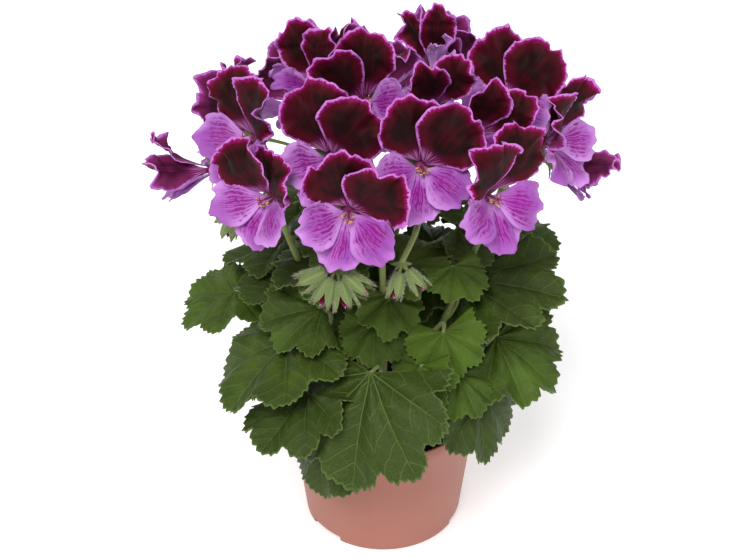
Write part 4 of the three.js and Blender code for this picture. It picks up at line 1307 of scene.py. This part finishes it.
class PELARGONIUM_OT_buds(bpy.types.Operator):
    """Add the calyx behind each flower and the hairy young buds"""

    bl_idname = "pelargonium.buds"
    bl_label = "Calyces and Buds"

    def execute(self, context):
        sepal = sepal_tissue()
        down = plain_tissue("Hair_Silver", srgb("#cdd2b6"), 0.5, 8.0)
        dark = upper_petal_face()
        length = plant_settings(context).hair_length / MM
        for number, shoot in enumerate(SHOOTS):
            chance = random.Random(SEED + DRAWS["buds"] + number)
            green, cups, hearts, roots = [], [], [], []
            for index, bloom in enumerate(BLOOMS):
                if bloom[0] != shoot:
                    continue
                matrix, scale = bloom_frame(bloom), bloom[6]
                sepals = calyx_sheets(matrix, scale, index)
                green += sepals
                cups.append(placed_sheet(turned_sheet(FLOWER_CUP, 10), matrix, scale))
                inside = matrix @ Vector((0, 0, 1.0))
                for sheet in sepals:
                    roots += hairs_on_sheet(sheet, CALYX["hairs"], length, chance, inside)
            for index, bud in enumerate(BUDS):
                if YOUNG_CLUSTERS[bud[0]][0] != shoot:
                    continue
                matrix, scale = bud_frame(bud)
                openness = 0.9 + 0.9 * chance.random()
                clasp = [
                    bud_sepal_sheet(
                        matrix,
                        scale,
                        math.tau * k / BUD["sepals"] + index,
                        openness * chance.uniform(0.6, 1.2),
                    )
                    for k in range(BUD["sepals"])
                ]
                green += clasp
                hearts.append(bud_heart_sheet(matrix, scale))
                inside = matrix @ Vector((0, 0, BUD["length"] * 0.35))
                shaggy = length * BUD["hair_share"]
                for sheet in clasp:
                    roots += hairs_on_sheet(sheet, BUD["hairs"], shaggy, chance, inside)
            for owner, _, place in YOUNG_CLUSTERS.values():
                if owner == shoot:
                    green += bract_sheets(Vector(place), Vector((0, 0, -1)), *BRACTS["cluster"])
            green += bract_sheets(Vector(SHOOTS[shoot][2]), Vector((0, 0, 1)), *BRACTS["umbel"])
            node = f"shoot_{shoot}"
            grown(f"Sepals_{shoot}", green, [sepal, sepal], node, CALYX["thickness"])
            grown(f"Flower_Cups_{shoot}", cups, [sepal], node)
            if hearts:
                grown(f"Bud_Hearts_{shoot}", hearts, [dark], node)
            hair_coat(f"Bud_Hairs_{shoot}", roots, down, node)
        return {"FINISHED"}


# Flowers


def bloom_frame(bloom):
    _, at, azimuth, elevation, roll, _, _, _ = bloom
    return frame_at(at, direction(azimuth, elevation), roll)


def petal_angles(openness, kind, tuck):
    """Closed petals stand up along the flower's axis, narrow, and open ones flare and turn back."""
    angles = PETAL_ANGLES[kind]
    rise = lerp(*angles["rise"], openness) + tuck
    spread = lerp(*angles["spread"], openness) + tuck
    return rise, spread, lerp(angles["width"], 1, min(1, openness / FULL_WIDTH_AT))


def petal_outline(kind, width_share, s, t):
    """Where a petal's point lies in its flattened blade: across its middle line and along it."""
    swell = np.sin(math.pi / 2 * np.minimum(1, s / 0.7)) ** 1.4
    across = t * (kind["claw"] + (kind["width"] * width_share / 2 - kind["claw"]) * swell)
    along = kind["length"] * s * (1 - kind["round"] * np.abs(t) ** 2.2 * s)
    return across, along


def petal_sheet(kind, turn, angles, wave, phase, edges, claw_radius, matrix, scale):
    """A petal that leaves the receptacle at the angle rise and turns evenly to the angle spread at its tip.
    It keeps, for each point, its place across and along the petal and its distance from the edge."""
    rise, spread, width_share = angles
    start = math.radians(rise)
    bend = math.radians(spread) - start
    cos_turn, sin_turn = math.cos(math.radians(turn)), math.sin(math.radians(turn))
    length, fold = kind["length"], kind["fold"]
    # Points round the petal's rim, and how far each lies along it
    steps = np.linspace(0.05, 1, 40)
    rim_s = np.concatenate((steps, np.ones(60), steps[::-1]))
    rim_t = np.concatenate((-np.ones(40), np.linspace(-1, 1, 60), np.ones(40)))
    rim_across, rim_along = petal_outline(kind, width_share, rim_s, rim_t)
    rim_length = np.concatenate(([0], np.cumsum(np.hypot(np.diff(rim_across), np.diff(rim_along)))))
    fold_at, notch_at = 0.45 * math.sin(phase * 4.1), 0.5 * math.sin(phase * 2.7)

    def shape(u, v):
        # s runs along the petal, t across it and q round its rim
        s, t = ((v + 1) / 2) ** 0.85, np.sin(u * math.pi / 2) * 0.35 + u * 0.65
        across, along = petal_outline(kind, width_share, s, t)
        gaps = np.hypot(across[:, None] - rim_across[None], along[:, None] - rim_along[None])
        nearest = gaps.argmin(axis=1)
        rim = gaps[np.arange(len(s)), nearest]
        q = rim_length[nearest]
        lift_share = np.where(t < 0, edges[0]["lift"], edges[1]["lift"])
        frill_share = np.where(t < 0, edges[0]["frill"], edges[1]["frill"])
        tip_frill = lerp(frill_share, 1.0, smooth(0.8, 0.3, np.abs(t)))
        frill = frill_share * kind["ruffle"] * s**2.5 * np.abs(t) * np.sin(2.6 * math.pi * t + wave)
        lift = width_share * (lift_share * kind["cup"] * s * t * t + frill)
        # Ruffles that grow towards the edge, a lengthwise fold, and a tip that curls in or back
        ruffles = (
            np.sin(q / 3.0 + phase * 3)
            + 0.5 * np.sin(q / 1.45 + phase * 7)
            + 1.1 * np.sin(q / 6.1 + phase)
            + 0.22 * np.sin(q / 0.62 + phase * 9)
        )
        crimp = kind["crimp"] * lerp(0.3, 1.0, tip_frill) * np.exp(-rim / 6.5)
        lift = lift + crimp * ruffles * smooth(0.25, 0.8, s)
        crease = np.exp(-(((t - fold_at) / 0.24) ** 2))
        lift = lift + fold * math.sin(phase * 12.9) * crease * s**1.5 * tip_frill
        lift = lift + fold * 0.9 * math.sin(phase * 5.3) * s**4 * tip_frill
        lift = lift + 0.55 * np.sin(t * 11 + phase) * np.sin(t * 5.1 - phase * 2) * s**1.3 * width_share
        along = along * (1 + 0.045 * math.sin(phase * 7.7))
        along = along + 0.8 * np.exp(-rim / 3) * np.sin(q / 1.15 + phase * 5) * s**4
        along = along - fold * 0.6 * np.exp(-(((t - notch_at) / 0.16) ** 2)) * s**5
        angle = start + bend * along / length
        radius = claw_radius + length / bend * (np.sin(angle) - math.sin(start))
        height = HUB_TOP - length / bend * (np.cos(angle) - math.cos(start))
        out = radius - lift * np.sin(angle)
        x = out * sin_turn + across * cos_turn
        y = out * cos_turn - across * sin_turn
        marks = {
            "flow": np.column_stack((t, s, rim)),
            "margin": np.column_stack((q, rim, np.full(len(u), wave))),
        }
        return moved(np.column_stack((x, y, height + lift * np.cos(angle))), matrix, scale), marks

    columns, rows = kind["cells"]
    return Sheet(columns, rows, shape)


def laid_petal(index, bloom, half, side, turn, tuck, edges, claw):
    """One petal of a flower: its ruffles start from the flower's number and the petal's side."""
    *_, openness, scale, _ = bloom
    kind = PETALS[half]
    wave = index * kind["flower_step"] + side * kind["side_step"]
    return petal_sheet(
        kind,
        turn,
        petal_angles(openness, half, tuck),
        wave,
        wave + RUFFLE_SHIFTS.get((index + 1, half), 0),
        edges,
        CLAW_RADIUS[claw],
        bloom_frame(bloom),
        scale,
    )


def upper_petals(index, bloom):
    sheets = []
    for side in (-1, 1):
        claw, inner, tuck = ("over", OVER, TUCK["upper_front"]) if side == bloom[7] else ("under", UNDER, 0)
        edges = (FREE, inner) if side < 0 else (inner, FREE)
        sheets.append(laid_petal(index, bloom, "upper", side, side * PETAL_TURN["upper"], tuck, edges, claw))
    return sheets


def lower_petals(index, bloom):
    turn = lerp(PETAL_TURN["lower_closed"], PETAL_TURN["lower"], bloom[5])
    rows = (
        (-1, -turn, TUCK["lower_side"], (OVER, FREE), "over"),
        (0, 180, TUCK["lower_middle"], (UNDER, UNDER), "under"),
        (1, turn, TUCK["lower_side"], (FREE, OVER), "over"),
    )
    return [laid_petal(index, bloom, "lower", *row) for row in rows]


def grow_petals(context, half, petals, faces):
    """The petals of one half of every flower, as a piece for each flower."""
    thickness = plant_settings(context).petal_thickness / MM
    for index, bloom in enumerate(BLOOMS):
        number = f"{index + 1:02d}"
        node = f"bloom_{number}_{half}"
        grown(f"{half.title()}_Petals_{number}", petals(index, bloom), faces, node, thickness)


class PELARGONIUM_OT_upper_petals(bpy.types.Operator):
    """Add the two dark ruffled upper petals of each flower"""

    bl_idname = "pelargonium.upper_petals"
    bl_label = "Upper Petals"

    def execute(self, context):
        faces = [upper_petal_face(), upper_petal_face(back=True)]
        grow_petals(context, "upper", upper_petals, faces)
        return {"FINISHED"}


class PELARGONIUM_OT_lower_petals(bpy.types.Operator):
    """Add the three pink veined lower petals of each flower"""

    bl_idname = "pelargonium.lower_petals"
    bl_label = "Lower Petals"

    def execute(self, context):
        settings = plant_settings(context)
        faces = [lower_petal_face(settings), lower_petal_face(settings, back=True)]
        grow_petals(context, "lower", lower_petals, faces)
        return {"FINISHED"}


def stamen_sheets(index, bloom):
    """The receptacle, the filaments with their anthers, and the style with its five branches."""
    matrix, scale = bloom_frame(bloom), bloom[6]
    chance = random.Random(SEED + DRAWS["stamens"] + index)

    def line_through(steps, *places):
        return smooth_line([matrix @ (Vector(place) * scale) for place in places], steps)

    sheets = [placed_sheet(turned_sheet(RECEPTACLE, 14, finish=0), matrix, scale)]
    for k in range(7):
        lean = math.radians(-90 + (k - 3) * 26)
        x = math.cos(lean) * chance.uniform(2.2, 3.6)
        y = math.sin(lean) * chance.uniform(2.2, 4.2)
        top = Vector((x, y, chance.uniform(8, 12)))
        foot = Vector((math.cos(lean) * 0.9, math.sin(lean) * 0.9, 2.4))
        line = line_through(6, foot, foot.lerp(top, 0.55) + Vector((0, 0.9, 0.8)), top)
        sheets.append(tube(line, (0.34, 0.22), 5, finish=1))
        lie = direction(chance.uniform(0, 360), chance.uniform(-20, 30))
        sheets.append(placed_sheet(turned_sheet(ANTHER, 6, finish=2), frame_at(line[-1], lie, 0), scale))
    column_top = Vector((0, -0.6, HUB_TOP + 8.2))
    column = line_through(6, (0, -0.3, 2.4), (0, 0.1, 7), column_top)
    sheets.append(tube(column, (0.55, 0.4), 6, finish=3))
    for k in range(5):
        turn = math.tau * k / 5 + index
        out = Vector((math.cos(turn), math.sin(turn), 0))
        bend = column_top + out * 1.3 + Vector((0, 0, 1.3))
        line = line_through(5, column_top, bend, column_top + out * 2.9 + Vector((0, 0, 0.9)))
        sheets.append(tube(line, (0.34, 0.2), 5, finish=3))
    return sheets


class PELARGONIUM_OT_stamens(bpy.types.Operator):
    """Add the stamens and style in the throat of each flower"""

    bl_idname = "pelargonium.stamens"
    bl_label = "Stamens and Styles"

    def execute(self, context):
        finishes = [
            plain_tissue("Receptacle", srgb("#7c1c56"), 0.6, 3.0),
            plain_tissue("Filament", srgb("#d9a3c4"), 0.45, 4.0),
            plain_tissue("Anther_Pollen", srgb("#dfa56c"), 0.8, 1.0),
            plain_tissue("Style", srgb("#8d2c5c"), 0.5, 3.0),
        ]
        for index, bloom in enumerate(BLOOMS):
            number = f"{index + 1:02d}"
            sheets = stamen_sheets(index, bloom)
            grown(f"Stamens_{number}", sheets, finishes, f"bloom_{number}_lower")
        return {"FINISHED"}


# Stage


class PELARGONIUM_OT_stage(bpy.types.Operator):
    """Add the pale floor, the soft lights and the camera"""

    bl_idname = "pelargonium.stage"
    bl_label = "Stage"

    def execute(self, context):
        scene = context.scene
        bm = bmesh.new()
        bmesh.ops.create_circle(bm, cap_ends=True, radius=FLOOR["radius"], segments=64)
        mesh = bpy.data.meshes.new("Floor")
        bm.to_mesh(mesh)
        bm.free()
        # Matt paper that glows a little, as under a bright even sky
        colour = (*plant_settings(context).floor_colour, 1.0)
        light = {"Emission_Color": (1.0, 1.0, 1.0, 1.0), "Emission_Strength": FLOOR["glow"]}
        paper, _ = new_finish("Floor_Paper", 0.95, Specular_IOR_Level=0.0, Base_Color=colour, **light)
        mesh.materials.append(paper)
        floor = bpy.data.objects.new("Floor", mesh)
        scene.collection.objects.link(floor)

        world = bpy.data.worlds.new("Studio")
        world.use_nodes = True
        sky = world.node_tree.nodes["Background"]
        sky.inputs["Color"].default_value = (1.0, 1.0, 1.0, 1.0)
        sky.inputs["Strength"].default_value = SKY_STRENGTH
        scene.world = world
        scene.view_settings.view_transform = "Standard"

        for name, way, width, strength in LIGHTS:
            data = bpy.data.lights.new(name, "SUN")
            data.angle = math.radians(width)
            data.energy = strength
            lamp = bpy.data.objects.new(name, data)
            lamp.rotation_euler = Vector(way).to_track_quat("Z", "Y").to_euler()
            scene.collection.objects.link(lamp)

        data = bpy.data.cameras.new("Camera")
        data.lens = CAMERA["lens"]
        data.sensor_width = CAMERA["sensor"]
        camera = bpy.data.objects.new("Camera", data)
        camera.location = CAMERA["place"]
        camera.rotation_euler = (math.radians(CAMERA["tilt"]), 0.0, 0.0)
        scene.collection.objects.link(camera)
        scene.camera = camera
        return {"FINISHED"}


class PELARGONIUM_PT_panel(bpy.types.Panel):
    """Lists the plant's pieces and settings"""

    bl_idname = "PELARGONIUM_PT_panel"
    bl_label = "Pelargonium"
    bl_space_type = "VIEW_3D"
    bl_region_type = "UI"
    bl_category = "Pelargonium"

    def draw(self, context):
        settings = plant_settings(context)
        for name in PelargoniumSettings.__annotations__:
            self.layout.prop(settings, name)
        for operator in OPERATORS:
            self.layout.operator(operator.bl_idname)


OPERATORS = (
    PELARGONIUM_OT_pot,
    PELARGONIUM_OT_soil,
    PELARGONIUM_OT_stems,
    PELARGONIUM_OT_leaves,
    PELARGONIUM_OT_buds,
    PELARGONIUM_OT_upper_petals,
    PELARGONIUM_OT_lower_petals,
    PELARGONIUM_OT_stamens,
    PELARGONIUM_OT_stage,
)
CLASSES = (PelargoniumSettings, *OPERATORS, PELARGONIUM_PT_panel)


def register():
    for cls in CLASSES:
        bpy.utils.register_class(cls)
    bpy.types.Scene.pelargonium = bpy.props.PointerProperty(type=PelargoniumSettings)


def unregister():
    del bpy.types.Scene.pelargonium
    for cls in reversed(CLASSES):
        bpy.utils.unregister_class(cls)


def main():
    register()
    for operator in OPERATORS:
        category, name = operator.bl_idname.split(".")
        getattr(getattr(bpy.ops, category), name)()
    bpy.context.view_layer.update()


if __name__ == "__main__":
    main()
